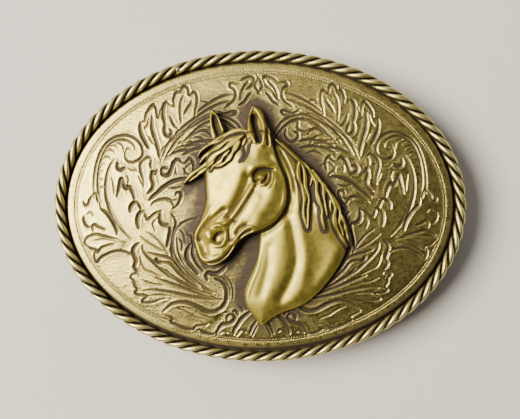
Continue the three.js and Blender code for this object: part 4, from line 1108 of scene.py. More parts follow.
CUT_SIZES = {"bold": (0.34, 0.36), "main": (0.25, 0.27), "fine": (0.18, 0.17)}
FOLIAGE = {
    "bold": [
        # Upper leaf: its long spine, and the shaded sides of its lobes.
        [(-23.5, 11), (-23.8, 13), (-24.6, 15.5), (-25.3, 18), (-25.4, 20.6)],
        [(-26, 13.2), (-27.2, 15.2), (-28, 17.3), (-28.1, 19.2)],
        [(-22.2, 18.5), (-22.7, 20.5), (-22.8, 22), (-22.5, 23.3), (-21.8, 24)],
        [(-22.3, 18.8), (-22.4, 17.2), (-22, 16.3), (-21.3, 16), (-20.8, 16.4), (-20.8, 17),
         (-21.2, 17.6)],
        # Middle leaf.
        [(-24, 8.4), (-24.5, 7.5), (-25.1, 7.9), (-25.3, 6.5), (-24.9, 5.2), (-25.2, 4), (-26.4, 2.9)],
        [(-21.5, 8.8), (-22.5, 8.8), (-23, 8.1), (-22.6, 7.3), (-21.8, 7.1), (-21.2, 7.5), (-20.8, 8.6),
         (-20.3, 9.8), (-19.7, 10.6), (-19, 10.7), (-18.4, 10)],
        [(-26, 1.5), (-24, 3.2), (-22.5, 4.5), (-20.5, 5.7), (-18.5, 6.3), (-17, 6.5)],
        # Tufts of the inner acanthus.
        [(-33.2, 10.2), (-33.3, 9.0), (-32.6, 8.4), (-31.4, 8.9)],
        [(-33.5, 2.2), (-33, 4), (-32.4, 6.3), (-32, 5.2), (-31.3, 4.2), (-30.8, 4.6), (-30.2, 4.2),
         (-29.6, 2.9), (-29.3, 1.6)],
        [(-30.3, -1.2), (-30.2, -0.2), (-29.5, 0.9), (-28.7, 1.2)],
        [(-28.3, -5.0), (-28.6, -3.5), (-28.4, -2), (-27.6, -1.1), (-27, -0.9)],
        [(-23.3, -1), (-23.4, -2.8), (-22.9, -3.8), (-22, -4.2), (-21.3, -4)],
        [(-21.3, -4.2), (-21.0, -5.4), (-21.3, -7.2), (-21.8, -9.2)],
        [(-37.2, -0.4), (-35.8, -1.4), (-34.6, -2.9), (-33.7, -4.7), (-33.3, -6.2)],
        # Fan leaf below, and the outline of the great curl under it.
        [(-28.3, -8.2), (-29.2, -8.9), (-29.7, -9.9), (-29.4, -11.2), (-29.0, -12.4), (-29.4, -13.6),
         (-28.6, -14.9)],
        [(-23, -24), (-22, -23), (-20.5, -22), (-18.5, -21.6), (-16.5, -21.9), (-14.5, -22.8),
         (-12.5, -23.7), (-10.8, -23.7), (-9.2, -22.9), (-8.3, -21.5), (-8, -19.8), (-8.3, -18),
         (-9.3, -16.8), (-10.8, -16.2)],
        [(-24.3, -11.6), (-24.0, -12.5), (-23.1, -12.9)],
        [(-16.4, -8.4), (-17.2, -10.0), (-17.2, -11.8), (-16.2, -13.4), (-14.6, -15.2)],
        [(-12.4, -16.6), (-12.8, -15.6), (-12.2, -14.9), (-11.2, -15.1), (-10.2, -15.0), (-9.0, -14.2),
         (-8.2, -13.4)],
        [(-10.6, -29.3), (-10.3, -28.5), (-9.7, -27.5), (-9, -26.8), (-8, -26.5), (-7, -26.2),
         (-6.4, -25.7), (-6.2, -25), (-6.6, -24.5), (-7.3, -24.4)],
        [(-6.5, -29), (-6.3, -28), (-5.6, -26.8), (-5, -25.8), (-4, -24.8), (-2.6, -23.7)],
    ],
    "main": [
        [(-4.3, 15.7), (-5.8, 17.5), (-7.8, 19.0), (-10.2, 19.6), (-13.2, 18.8), (-15.2, 17.3),
         (-18.2, 14.4)],
        [(-6.8, 17.5), (-6.5, 16.0), (-7.8, 14.6), (-9.2, 15.1), (-9.5, 16.4), (-8.4, 16.9)],
        [(-9.7, 14.6), (-12.2, 15.0), (-15.2, 14.5), (-17.7, 13.4)],
        [(-9.7, 13.1), (-12.7, 13.5), (-15.7, 13.0), (-18.2, 11.7)],
        # Upper leaf, lobe by lobe.
        [(-28, 19), (-27.6, 19.4), (-27, 19.6), (-26.8, 21), (-26, 22.3), (-25, 23.3), (-24.4, 22.3),
         (-24.2, 21), (-24, 20.2), (-23.7, 21.2), (-23.3, 22), (-22.9, 21.6)],
        [(-21.8, 24), (-21.2, 23.2), (-20.6, 22.9), (-20.2, 23.1), (-20.4, 24.2), (-20.3, 24.8),
         (-20, 25.8), (-19.4, 26.2), (-18.9, 26.1), (-18.5, 27), (-17.8, 27.5), (-17.2, 27.2),
         (-16.9, 26.4), (-16.7, 25.4), (-16.3, 25.8), (-15.6, 26.1), (-15.1, 25.7), (-14.9, 24.5),
         (-15, 23.2), (-15.3, 22), (-15.5, 20)],
        [(-18.6, 19), (-18.8, 21), (-18.8, 23), (-18.5, 24.5), (-18, 25.3)],
        [(-17.9, 21), (-17.2, 22.2), (-16.5, 23.2), (-16.1, 24)],
        [(-21.1, 20.7), (-20.7, 19.4), (-20, 18.3), (-19.2, 17.7)],
        # Stem bands from the finial down to the middle leaf.
        [(-6.5, 25.6), (-8.5, 25.3), (-11, 24.2), (-13.5, 22.6), (-15, 21.4)],
        [(-6.8, 24), (-9, 23.6), (-12, 22.3), (-14, 21), (-17.2, 18.7), (-19.6, 16.6), (-21.5, 14.2),
         (-22.6, 12), (-23.3, 10.2)],
        [(-12, 21), (-14.5, 19.9), (-16.4, 18.4), (-18, 16.8), (-19.6, 15), (-20.7, 13.3), (-22, 11.3)],
        [(-16.7, 15.5), (-15.5, 16.6), (-13.8, 17.3), (-12.4, 17), (-11.6, 16)],
        [(-21.8, 11.3), (-20, 12.3), (-18, 12.9), (-16, 12.8)],
        # Middle leaf.
        [(-25.2, 10.8), (-26, 11.3), (-27, 10.9), (-27.8, 10), (-28, 8.8), (-27.7, 7.5), (-27.3, 6),
         (-27.2, 4.3)],
        [(-25.4, 10.6), (-25.6, 9.6), (-25.5, 8.7)],
        [(-18.4, 10), (-17.7, 9.9), (-17, 10.5), (-16.5, 11), (-15.8, 10.2), (-15.6, 9), (-15.9, 7.8)],
        # The great scroll, outer line and volute, then its inner line.
        [(-38.7, 2), (-38.9, 4.5), (-38.7, 7.5), (-38.2, 10), (-37.3, 12.5), (-36, 14.4), (-34.4, 15.6),
         (-32.5, 16.2), (-30.8, 16.2), (-29.2, 15.5), (-28, 14.3), (-27.4, 12.8), (-27.5, 11.6),
         (-28.4, 10.6), (-29.8, 10.1), (-31, 10.4), (-31.5, 11.5), (-31.4, 12.6), (-30.8, 13.3),
         (-30.1, 12.9)],
        [(-29.3, 12.9), (-29.3, 13.5), (-29.9, 14.4), (-31, 15), (-32.6, 15.3), (-34.2, 14.9),
         (-35.6, 13.8), (-36.6, 12.2), (-37.4, 10), (-37.8, 7.5), (-37.9, 5), (-37.6, 2.5), (-37, 0.5)],
        [(-34, 11), (-35.2, 9), (-36, 6), (-36, 3), (-35.3, 0), (-34, -3), (-32, -5.5), (-30, -7.5)],
        # Trefoil at the far end.
        [(-39.2, 2.6), (-38.5, 3), (-38, 2), (-37.8, 1)],
        [(-41.3, 1.3), (-41, 0.4), (-40.2, 0.6), (-39.8, 1.7), (-39.2, 2.6)],
        [(-41.2, -2), (-41.2, -3.2), (-40.6, -4.3), (-39.8, -4.7)],
        [(-39, -5.8), (-39.2, -4.6), (-38.6, -4), (-37.8, -4.5), (-36, -5.2)],
        [(-40.7, -8.6), (-41, -8), (-40.3, -6.9), (-38.5, -6.2), (-37, -6.5), (-33, -7.5)],
        [(-40.7, -8.6), (-39.8, -9.4), (-38.5, -9.7), (-38, -10.4), (-37, -9.3), (-35.5, -8.7),
         (-34, -8.4)],
        [(-38.3, -9.8), (-38.8, -11), (-38.5, -12.2), (-38, -12.6), (-37.2, -11.6), (-35.5, -10.6),
         (-33.5, -10), (-31.5, -10.2), (-30, -10.9), (-29.6, -11.4)],
        # Fan leaf: serrated edge and flowing veins.
        [(-28.3, -15.9), (-28.6, -15.2), (-29.8, -15.3), (-30.3, -16), (-29.6, -16.8), (-29.4, -17.8),
         (-28.8, -18.8), (-29.3, -19.5), (-28.4, -20), (-26.5, -20.3), (-27.6, -21.4), (-26.5, -21.7),
         (-25, -21.6), (-23.5, -21.1), (-22, -20.8)],
        [(-24.5, -16), (-22, -16.9), (-19, -18), (-16, -19), (-13, -20), (-10.5, -20.8)],
        [(-22.2, -14.2), (-20.5, -15.8), (-18, -17.3), (-15, -18.7), (-12, -19.9)],
        [(-27.5, -8.7), (-27.3, -10), (-26.3, -11.3), (-25, -12.5), (-22.6, -14.6), (-20, -16.4)],
        [(-24.2, -11.7), (-23.9, -12.5), (-22, -12.6), (-20.8, -13), (-19.5, -14.5), (-18, -15.8),
         (-16, -17.4), (-14, -18.6)],
        [(-26, -10.3), (-24, -10.9), (-22, -11.3), (-20.3, -12), (-19, -13.5), (-17.5, -15.3),
         (-14.3, -18)],
        [(-27.3, -19), (-25, -18.8), (-21, -19.3), (-17, -20.2), (-13, -20.8), (-8.8, -21)],
        # Smooth pointed leaf and the scrolls under it.
        [(-23, -24.3), (-21.3, -25), (-20.6, -25.6), (-21, -26.1), (-20, -26.7), (-18.5, -27.4),
         (-17, -27.8), (-15.8, -27.8), (-15.2, -27.2), (-14, -26.9), (-13, -26.9), (-12.3, -26.3)],
        [(-15.1, -28.2), (-14.6, -27.9), (-13, -28.6), (-12, -28.9), (-10.6, -28.8)],
        [(-7.3, -24.4), (-7.9, -24.9), (-8, -25.7)],
        [(-9.9, -28.9), (-9.3, -28.4), (-8.6, -28.2), (-7.9, -28.6)],
        [(-6, -29.5), (-5.2, -28.3), (-4.5, -27.9), (-3.7, -28.5)],
        [(-6.7, -23.8), (-6, -23.5), (-5.4, -24.6)],
        [(-2.8, -28.9), (-2.2, -27.3), (-1.2, -25.8)],
        # Leaves beside the face.
        [(-28.7, 1.2), (-28, 0), (-27.8, -0.8)],
        [(-27, -0.9), (-26.8, -1.8), (-26.3, -2.8), (-25.5, -2.3), (-24.5, -1.5), (-23, -0.9)],
        [(-25.5, 0.3), (-24.5, 1.2), (-22.5, 1.8), (-21, 1.5), (-20, 0)],
        [(-20.5, -0.5), (-19.5, 0.3), (-18.8, 1.5), (-18.5, 3), (-19.5, 3.2), (-19.9, 2.5)],
        [(-20.9, -1.5), (-20.2, -2.3), (-19.7, -3.5), (-19.8, -4.5), (-20.3, -5.5), (-20.7, -7),
         (-20.8, -9), (-20.5, -11), (-19.5, -13)],
        [(-14.5, -2.5), (-16.5, -2.8), (-18.5, -3.8), (-19.8, -5.3), (-20.4, -7.5), (-20.3, -10),
         (-19.5, -12), (-18, -14), (-16, -16), (-13.5, -18), (-11, -19.5)],
        [(-17.4, -6.2), (-16.2, -6.6), (-15.8, -8.4), (-15.9, -10.4), (-15.0, -12.6), (-13.4, -14.6)],
        # Finial over the head.
        [(-5, 28.1), (-6, 28.1), (-7, 28.1), (-7.4, 27.6), (-7.1, 27.1), (-6.6, 26.9), (-6.2, 26.4),
         (-6, 25.6), (-6.1, 24.8), (-6.6, 23.9), (-7.5, 23.2), (-8.5, 22.4)],
        [(-5, 28.5), (-4.4, 29), (-3.5, 29.4), (-2.8, 29.6), (-2.1, 29.5), (-1.7, 29), (-1.9, 28.3),
         (-2.3, 27.6), (-3, 27), (-3.8, 26.5)],
        [(-3, 28.4), (-4, 27.3), (-4.7, 25.8), (-5, 24.2)],
        [(-2.3, 25.9), (-3, 25.2), (-3.8, 24), (-4.5, 23.4), (-5.3, 23)],
        [(-0.35, 30), (-1.2, 28.6), (-1.5, 27.4), (-0.9, 26.4), (-0.35, 25.6)],
        [(-10, 21.6), (-8.5, 21), (-7, 21.5), (-5.8, 21.5), (-6.5, 20.8), (-8, 20.5)],
        # Arcs behind the ears, which show best beside the mane.
        [(-3.7, 16), (-5.7, 19), (-8.7, 20.5), (-11.7, 20.5), (-15.7, 18.5), (-19.7, 16), (-23.7, 12)],
        [(-9.7, 19.3), (-9.4, 17.8), (-10.2, 17), (-11.7, 16.8)],
    ],
    "fine": [
        [(-11.2, 16.9), (-13.7, 17.3), (-15.6, 16.0)],
        [(-11.2, 11.9), (-13.2, 12.3), (-15.2, 11.5)],
        [(-14.2, 8.8), (-16.2, 9.8), (-17.7, 8.2), (-16.2, 6.7), (-18.2, 5.7)],
        [(-18.2, 4.7), (-20.2, 4.2), (-21.8, 4.6)],
        [(-19.2, 1.7), (-21.2, 1.2), (-22.2, 2.2)],
        [(-26, 16), (-25.3, 14.8), (-24.6, 14)],
        [(-25.3, 17), (-24, 15)],
        [(-27.2, 17.6), (-26.4, 18.6), (-26, 20.2)],
        [(-14, 24), (-12.5, 23.7), (-11.8, 23.3)],
        [(-16.5, 15.6), (-14.5, 15.8), (-13, 15), (-12, 13.5)],
        [(-19.2, 14.3), (-18.5, 14.7), (-18, 14.2)],
        [(-17.8, 14.6), (-16.4, 14.6), (-14.6, 14.2), (-13.2, 13.2)],
        [(-19.7, 9.2), (-19.8, 8), (-19.5, 7.3)],
        [(-18.2, 8.8), (-17.6, 8.2), (-17.8, 7.4)],
        # Hooks between the two lines of the great scroll.
        [(-35.8, 13.8), (-34.5, 14.1), (-33.6, 13.8), (-33.2, 13.3)],
        [(-36.7, 12.4), (-35.5, 13), (-34.4, 12.8), (-33.8, 12.1)],
        [(-37.3, 10.6), (-36.2, 11.4), (-35.2, 11.3), (-34.8, 10.7)],
        [(-37.6, 8.8), (-36.9, 9.8), (-36.1, 9.8)],
        [(-37.8, 6.9), (-37.2, 8.1), (-36.5, 8.1)],
        [(-37.8, 5.0), (-37.3, 6.3), (-36.7, 6.2)],
        [(-37.6, 3.2), (-37.2, 4.5), (-36.6, 4.4)],
        [(-33.6, 14.6), (-32.4, 14.2), (-31.9, 13.4), (-31.9, 12.4)],
        [(-35.7, 2), (-34.5, -1), (-32.5, -4.5), (-30.2, -7.5)],
        [(-37.5, 2), (-37.2, 0), (-36.4, -1.4)],
        [(-31, 9), (-30, 8.3), (-29, 8.4), (-28.6, 8)],
        [(-28.4, 7), (-27.4, 5)],
        [(-31.2, 7.4), (-30.6, 6.2), (-30.9, 5.2)],
        [(-29.8, 3.5), (-29.2, 1.8), (-30, 0.3)],
        [(-34.6, 6.8), (-34.2, 4.6), (-34.0, 2.6)],
        [(-39.3, -7.7), (-36, -7.3), (-33.5, -7.7), (-31, -8.2)],
        [(-40.6, -1.8), (-39.6, -1.2), (-38.8, -2.2)],
        [(-28, -11.5), (-27.6, -13), (-26.8, -14.2), (-25, -15), (-23, -16)],
        [(-27.4, -16.6), (-25.4, -17.4), (-22.6, -17.8)],
        [(-26.0, -20.2), (-24.0, -20.0), (-21.6, -20.2)],
        [(-13.5, -23), (-11.5, -23.5), (-9.6, -22.8), (-8.8, -21.5)],
        [(-7.4, -21), (-7.3, -19), (-7.9, -17.2), (-9, -16), (-11.5, -15.2)],
        [(-6.7, -21), (-6.7, -18.5), (-7.5, -16.5), (-8.6, -15.5)],
        [(-19.2, -7), (-18.3, -8.2), (-18.5, -10)],
        [(-18.9, -5), (-17.9, -6.4), (-17.7, -8.2)],
        [(-18.6, -11.0), (-17.6, -12.4), (-16.2, -14.2)],
        [(-19.6, -6.0), (-19.4, -8.6), (-18.8, -11.2), (-17.2, -13.8), (-14.8, -16.2), (-12.6, -17.8)],
        [(-24.0, -2.6), (-25.0, -3.8), (-24.4, -5.6)],
        [(-26.6, -5.6), (-25.2, -6.4), (-24.0, -7.4), (-22.4, -9.2), (-21.4, -11.0)],
        [(-28.0, -6.6), (-26.2, -8.0), (-23.8, -9.4), (-22.0, -10.2)],
        [(-19.6, -23.0), (-17.8, -23.6), (-15.6, -24.9), (-13.4, -25.6)],
        [(-3.8, 26.3), (-4.3, 25.5), (-4.6, 24.6)],
        [(-5.2, -22.5), (-4.6, -22.9), (-4.3, -23.7)],
        [(-2.3, -29.5), (-1.6, -28), (-1, -26.9)],
        [(-10.7, 13), (-13.7, 14), (-17.7, 13.8), (-20.7, 12.5)],
        [(-12.2, 18.6), (-14.4, 17.8), (-16.6, 16.2)],
    ],
}

# Leaves that stand over the matted ground, as closed outlines on the left half.
LEAVES = [
    [(-23.4, 10.6), (-26.2, 13.8), (-28.1, 17.4), (-27.4, 20), (-25, 23.4), (-23.6, 21.6),
     (-21.8, 24.1), (-20.2, 24.4), (-19.4, 26.3), (-17.8, 27.6), (-16.4, 26.1), (-15.2, 25.9),
     (-14.9, 24), (-15.4, 20.6), (-18.2, 17.6), (-21.2, 14.2)],
    [(-6.5, 25.7), (-9.6, 25.1), (-13.5, 22.8), (-15.4, 21.2), (-18.6, 17.6), (-21.8, 14),
     (-23.4, 10.4), (-22, 11), (-18.4, 13.6), (-13, 17.4), (-9, 21.4), (-6.6, 23.8)],
    [(-38.9, 3), (-38.8, 8), (-37.4, 12.6), (-34.6, 15.6), (-31, 16.3), (-28, 14.4), (-27.4, 12),
     (-29, 10.3), (-31.4, 10.6), (-33.8, 11), (-35.2, 9), (-36.1, 5), (-36.2, 1), (-37.4, 0.4)],
    [(-34, 11), (-32.6, 10), (-30.2, 9), (-28.2, 7.8), (-27.3, 5), (-27, 2.4), (-26, 1.4), (-23.8, 3.2),
     (-20.4, 5.7), (-17, 6.6), (-18.6, 3.4), (-19.4, 0.4), (-20.8, -1.6), (-20.9, -8), (-21.8, -10.8),
     (-24.8, -10.6), (-28.2, -8.2), (-30.4, -7.6), (-33, -5), (-35.2, -0.6), (-36.1, 4), (-35.6, 8)],
    [(-28, 9), (-26.8, 11.1), (-24.4, 10.8), (-22.6, 8.8), (-20.6, 9.4), (-19.2, 10.8), (-17.9, 9.9),
     (-16.4, 11), (-15.5, 9.2), (-16.2, 7), (-19.6, 6), (-22.6, 4.5), (-25.6, 2.4), (-27.2, 4.4)],
    [(-41.3, 0.8), (-39.4, 2.6), (-37.8, 2.2), (-35.4, -1), (-33.4, -5.4), (-31.6, -7.8), (-33, -9.6),
     (-37, -10.8), (-38.5, -12.4), (-38.6, -10), (-41, -8.1), (-39.2, -5.4), (-41.2, -3)],
    [(-28, -8), (-29.7, -10), (-29.3, -13.4), (-28.6, -15.1), (-30.3, -16), (-29, -19), (-28.2, -20.1),
     (-27.4, -21.4), (-23.6, -21.2), (-20.6, -21.6), (-16.5, -22), (-12.6, -23.8), (-9.4, -23),
     (-8, -20), (-9.2, -16.9), (-12, -15.6), (-15, -12), (-19, -13), (-20.4, -11.2), (-24, -10.6)],
    [(-23, -24.2), (-20.5, -22), (-16.5, -21.9), (-12.4, -23.7), (-10, -24.4), (-12.2, -26.4),
     (-15.2, -27.3), (-18.4, -27.5), (-20.8, -26)],
    [(-10.6, -29), (-9, -26.7), (-6.3, -25.6), (-6.3, -24.4), (-3, -23.4), (-0.35, -23.8),
     (-0.35, -29.6), (-6, -29.6)],
    [(-7.4, 28.1), (-4.6, 28.8), (-2.6, 29.7), (-1.4, 28.8), (-0.35, 30.1), (-0.35, 25.4), (-3.4, 23.6),
     (-6.8, 22.4), (-6.1, 25.2), (-7, 27)],
]
DESIGN_WIDTH = 0.98  # share of the width as drawn above
DESIGN_SHIFT = (0.35, -0.2)
RIGHT_LEAN_DEG = 1.3
RELIEF_STEP = 0.1
LEAF_RISE = 0.16
BORDER_BAND = 1.35  # smooth band inside the rolled edge
BORDER_ROWS = ((1.85, 0.0), (2.35, 0.5))  # distance from the edge, and how far each row of marks is offset
BORDER_MARKS = 420
RIM_SHADOW_REACH = 0.8  # how far the painted shadow reaches in from the rim
AGED_REACH = 6.0  # how far the dark tone spreads from the horse head


def both_sides(points):
    """A line of the left half, and its mirror on the right, which leans slightly."""
    left = np.array(points, float) * [DESIGN_WIDTH, 1] + DESIGN_SHIFT
    x, y = -left[:, 0], left[:, 1]
    lean = math.radians(RIGHT_LEAN_DEG)
    across, up = math.cos(lean), math.sin(lean)
    return [left, np.column_stack([x * across - y * up, x * up + y * across])]


def plate_relief():
    """Heights over the dome, dark tone (antiquing, and painted shadow along the rim) and matting of the whole
    face plate, on one grid.
    """
    grid = Grid((-44.5, -33.2), (44.5, 33.2), RELIEF_STEP)
    cut = np.zeros(grid.x.shape)
    lip = np.zeros(grid.x.shape)
    for size, lines in FOLIAGE.items():
        half, depth = CUT_SIZES[size]
        for points in lines:
            for line in both_sides(points):
                away, along = grid.near(smooth_line(line), 4 * half)
                reached = away < 4 * half
                taper = 0.45 + 0.55 * np.sqrt(np.clip(4 * along * (1 - along), 0, 1))
                width = half * taper
                np.maximum(cut, depth * taper * np.exp(-((away / width) ** 2)), out=cut, where=reached)
                raised = 0.22 * depth * taper * np.exp(-(((away - 2.0 * width) / width) ** 2))
                np.maximum(lip, raised, out=lip, where=reached)
    leaf = np.zeros(grid.x.shape, bool)
    for outline in LEAVES:
        for line in both_sides(outline):
            leaf |= grid.inside(smooth_line(line, closed=True))
    raised = blurred(leaf.astype(float), 14)
    crowned = blurred(leaf.astype(float), 160)
    relief = LEAF_RISE * (0.6 * raised + 0.4 * crowned) + lip * (1 - np.clip(cut / 0.1, 0, 1)) - cut

    share = np.hypot(grid.x / FACE_A, grid.y / FACE_B)
    steep = np.hypot(grid.x / FACE_A**2, grid.y / FACE_B**2)
    from_edge = (1 - share) * share / np.maximum(steep, 1e-6)
    turn = np.arctan2(grid.y / FACE_B, grid.x / FACE_A)
    inner = eased(BORDER_BAND - 0.1, BORDER_BAND + 0.15, from_edge)
    marks = np.zeros(grid.x.shape)
    for distance, offset in BORDER_ROWS:
        row = np.exp(-(((from_edge - distance) / 0.16) ** 2))
        tick = 0.5 + 0.5 * np.cos(BORDER_MARKS * turn + 2 * np.pi * offset)
        marks = np.maximum(marks, row * (0.35 + 0.65 * tick))
    relief = relief * inner - 0.06 * inner - 0.13 * marks

    edge = EMBLEM_PLACE + smooth_line(HORSE_EDGE, closed=True)
    away, _ = grid.near(edge, AGED_REACH)
    under = grid.inside(edge)
    ring = np.where(under, 1, 1 - eased(0.3, AGED_REACH, away))
    lit = np.minimum(np.clip(lip / 0.06, 0, 1) + 0.35 * raised, 1)
    patina = 0.66 * np.clip(cut / 0.22, 0, 1) + 0.1 * (1 - raised) + 0.4 * marks
    patina += 0.72 * ring * (1 - 0.5 * lit)
    # Painted shadow along the rim, strongest towards the lower right, with a little of it all round.
    shadow_side = eased(-0.5, 0.8, 0.35 * grid.x / FACE_A - 0.94 * grid.y / FACE_B)
    rim = (1 - eased(0.1, RIM_SHADOW_REACH, from_edge)) * (0.25 + 0.75 * shadow_side)
    shade = np.maximum(np.clip(patina, 0, 1) * inner + 0.08 * (1 - inner), rim)
    matted = (1 - raised) * inner * (1 - np.clip(marks, 0, 1))
    return grid, relief, shade, matted


# ---- Face plate and horse head as meshes ---------------------------------------------------------------

PLATE_POINTS = (560, 420)  # along and across the oval
PLATE_TRIANGLES = 192000
HORSE_TRIANGLES = 160000
SKIRT = 1.1  # thickness of the wall that stands on the back plate


def face_plate():
    """The domed plate: its stamped relief, rolled edge, skirt down to the back plate, and hollow back."""
    grid, relief, patina, matted = plate_relief()
    nu, nv = PLATE_POINTS
    u, v = np.meshgrid(np.linspace(-1, 1, nu), np.linspace(-1, 1, nv), indexing="ij")
    a, b = FACE_A - FACE_EDGE, FACE_B - FACE_EDGE
    x, y = a * u * np.sqrt(1 - v * v / 2), b * v * np.sqrt(1 - u * u / 2)
    z = dome_level(x, y) + grid.at(relief, x, y)
    points = np.column_stack([x.ravel(), y.ravel(), z.ravel()])
    number = np.arange(nu * nv).reshape(nu, nv)
    top = np.stack([number[:-1, :-1], number[1:, :-1], number[1:, 1:], number[:-1, 1:]], -1).reshape(-1, 4)
    edge = np.concatenate([number[:, 0], number[-1, 1:], number[-2::-1, -1], number[0, -2:0:-1]])
    out = points[edge, :2] / [a, b]
    normal = out / [a, b]
    normal /= np.linalg.norm(normal, axis=1)[:, None]
    base = points[edge]
    count = len(edge)
    rings, level = [edge], points
    rim = base[:, 2].mean()
    # How far each ring lies outside the top's edge, and how far above it.
    steps = [(FACE_EDGE * math.sin(t), FACE_EDGE * (math.cos(t) - 1)) for t in np.radians([22, 45, 68, 90])]
    steps += [(FACE_EDGE, FACE_BOTTOM - rim), (FACE_EDGE - SKIRT, FACE_BOTTOM - rim)]
    steps += [(FACE_EDGE - SKIRT, -1.3), (FACE_EDGE - 2.4, -1.15)]
    for away, rise in steps:
        ring = np.column_stack([base[:, :2] + normal * away, np.full(count, rim + rise)])
        rings.append(len(level) + np.arange(count))
        level = np.vstack([level, ring])
    for share in (0.8, 0.55, 0.3):
        ring = np.column_stack([base[:, :2] * share, np.zeros(count)])
        ring[:, 2] = dome_level(ring[:, 0], ring[:, 1]) - FACE_THICKNESS
        rings.append(len(level) + np.arange(count))
        level = np.vstack([level, ring])
    level = np.vstack([level, [[0, 0, dome_level(0, 0) - FACE_THICKNESS]]])
    walls = []
    for first, second in zip(rings[:-1], rings[1:]):
        walls.append(np.stack([first, second, np.roll(second, -1), np.roll(first, -1)], 1))
    last = np.stack([rings[-1], np.full(count, len(level) - 1), np.roll(rings[-1], -1)], 1)
    piece = mesh_object("face_plate_stamped", level, [top, np.vstack(walls), last])
    outward(piece)
    applied(piece, "DECIMATE", ratio=PLATE_TRIANGLES / triangles_of(piece))
    points = points_of(piece.data)
    # The plate's dark tone: antiquing, with painted shadow along the rim.
    patina_and_shade = grid.at(patina, points[:, 0], points[:, 1])
    # Darker below the dome, over the rolled edge, skirt and back: antiquing, with painted shade where they
    # sink into the channel.
    below = dome_level(points[:, 0], points[:, 1]) - points[:, 2]
    patina_and_shade = np.maximum(patina_and_shade, eased(0.25, 0.6, below))
    add_point_attribute(piece.data, patina_and_shade)
    add_point_attribute(piece.data, grid.at(matted, points[:, 0], points[:, 1]), "matted")
    piece.data.shade_smooth()
    return fit(piece, "antique_brass", "buckle", "face_plate")


def horse_head():
    """The emblem: its sculpted top over the outline, with a wall down to the plate."""
    edge = np.array(HORSE_EDGE)
    grid = Grid(edge.min(0) - 1, edge.max(0) + 1, HORSE_STEP)
    heights, inside, shade = horse_heights(grid)
    solid = inside[:-1, :-1] & inside[1:, :-1] & inside[1:, 1:] & inside[:-1, 1:]
    used = np.zeros(inside.shape, bool)
    for i, j in ((0, 0), (1, 0), (1, 1), (0, 1)):
        used[i : used.shape[0] - 1 + i, j : used.shape[1] - 1 + j] |= solid
    number = np.full(inside.shape, -1)
    number[used] = np.arange(used.sum())
    top = np.stack([number[:-1, :-1], number[1:, :-1], number[1:, 1:], number[:-1, 1:]], -1)[solid]
    # The sides that only one cell has run round the outline: they are moved onto it and get the wall.
    sides = np.vstack([top[:, [k, (k + 1) % 4]] for k in range(4)]).astype(np.int64)
    count = used.sum()
    rim = sides[~np.isin(sides @ [count, 1], sides @ [1, count])]
    at_edge = np.unique(rim)
    flat = np.column_stack([grid.x[used], grid.y[used]])
    flat[at_edge] = nearest_on(smooth_line(HORSE_EDGE, closed=True), flat[at_edge])
    flat += EMBLEM_PLACE
    base = dome_level(*flat.T)
    z = np.minimum(base + heights[used], top_level - 0.01)
    points = np.vstack([np.column_stack([flat, z]), np.column_stack([flat, base - 0.05])])
    wall = np.stack([rim[:, 1], rim[:, 0], rim[:, 0] + count, rim[:, 1] + count], 1)
    piece = mesh_object("horse_head_emblem", points, np.vstack([top, wall, top[:, ::-1] + count]))
    applied(piece, "DECIMATE", ratio=HORSE_TRIANGLES / triangles_of(piece))
    x, y, z = points_of(piece.data).T
    base = dome_level(x, y)
    patina_and_shade = grid.at(shade, x - EMBLEM_PLACE[0], y - EMBLEM_PLACE[1])
    # Painted shade over the side wall and the lowest part of the emblem, next to the plate.
    patina_and_shade = np.maximum(patina_and_shade, 1 - eased(0.4, 1.3, z - base))
    add_point_attribute(piece.data, patina_and_shade)
    piece.data.shade_smooth()
    return fit(piece, "polished_brass", "buckle", "horse_head")


def triangles_of(piece):
    return len(piece.data.loops) - 2 * len(piece.data.polygons)


def nearest_on(outline, places):
    """The nearest point of a closed outline to each place."""
    a, b = outline[:-1], outline[1:]
    step = b - a
    away = places[:, None] - a[None]
    t = np.clip((away * step).sum(-1) / np.maximum((step**2).sum(-1), 1e-12), 0, 1)
    spots = a[None] + t[..., None] * step[None]
    best = ((spots - places[:, None]) ** 2).sum(-1).argmin(1)
    return spots[np.arange(len(places)), best]


# ---- Assembly ----------------------------------------------------------------------------------------

face_plate()
horse_head()
rope_border()
rope_joint()
back_plate()
back_panel()
for end in ("lower", "upper"):
    lug(end)
strap_loop()
hook_pad()
hook_prong()
all_rivets()

# ---- Camera, light and floor ---------------------------------------------------------------------------

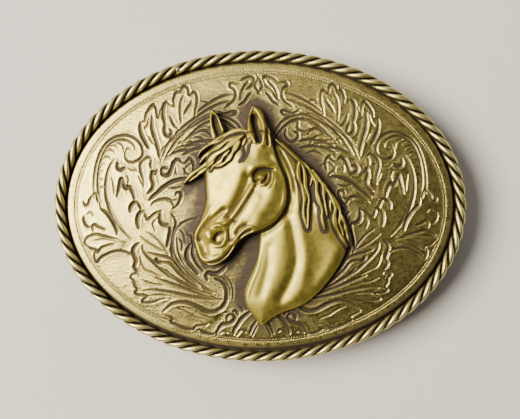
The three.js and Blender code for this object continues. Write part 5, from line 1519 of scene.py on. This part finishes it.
LENS, SENSOR = 70.0, 36.0
VIEW_WIDTH = 118.7  # what the camera takes in from side to side, at the rope's level
VIEW_MIDDLE = (-0.07, -0.8)
camera_data = bpy.data.cameras.new("camera")
camera_data.lens, camera_data.sensor_width = LENS, SENSOR
camera_data.clip_start = 0.01
camera = bpy.data.objects.new("camera", camera_data)
camera.location = Vector((*VIEW_MIDDLE, ROPE_LEVEL + VIEW_WIDTH * LENS / SENSOR)) * MM
bpy.context.scene.collection.objects.link(camera)
bpy.context.scene.camera = camera


def soft_light(name, place, size, power, colour=(1.0, 0.97, 0.92)):
    """A round softbox that looks at the buckle. place and size are in metres."""
    data = bpy.data.lights.new(name, "AREA")
    data.shape, data.size, data.energy, data.color = "DISK", size, power, colour
    made = bpy.data.objects.new(name, data)
    made.location = place
    made.rotation_euler = (Vector(place) - Vector((0, 0, 0.01))).to_track_quat("Z", "Y").to_euler()
    bpy.context.scene.collection.objects.link(made)


soft_light("window", (-0.60, 0.10, 0.79), 0.6, 25.0, (1.0, 0.95, 0.82))
soft_light("overhead", (-0.1, 0.6, 0.8), 0.6, 0.9)
soft_light("fill_right", (0.8, 0.2, 0.4), 0.5, 0.8, (1.0, 0.94, 0.86))
soft_light("fill_front", (-0.1, -0.8, 0.2), 0.4, 0.3)
soft_light("fill_back", (0.1, 0.9, 0.25), 0.4, 0.6)

world = bpy.data.worlds.new("studio")
world.use_nodes = True
background = world.node_tree.nodes["Background"].inputs
background["Color"].default_value = (0.80, 0.78, 0.74, 1)
background["Strength"].default_value = 0.07
bpy.context.scene.world = world

floor_finish = Finish("studio_floor")
grey = floor_finish.blend(floor_finish.noise(30, 3), (0.70, 0.67, 0.62), (0.74, 0.71, 0.66))
floor_finish.set(Base_Color=grey, Roughness=0.7)
FLOOR_HALF = 1500.0
FLOOR_DROP = 0.02  # how far the floor lies below the buckle
corners = np.array([(-1, -1), (1, -1), (1, 1), (-1, 1)]) * FLOOR_HALF
floor = mesh_object("floor", [(x, y, -FLOOR_DROP) for x, y in corners], np.array([[0, 1, 2, 3]]))
floor.data.materials.append(floor_finish.material)
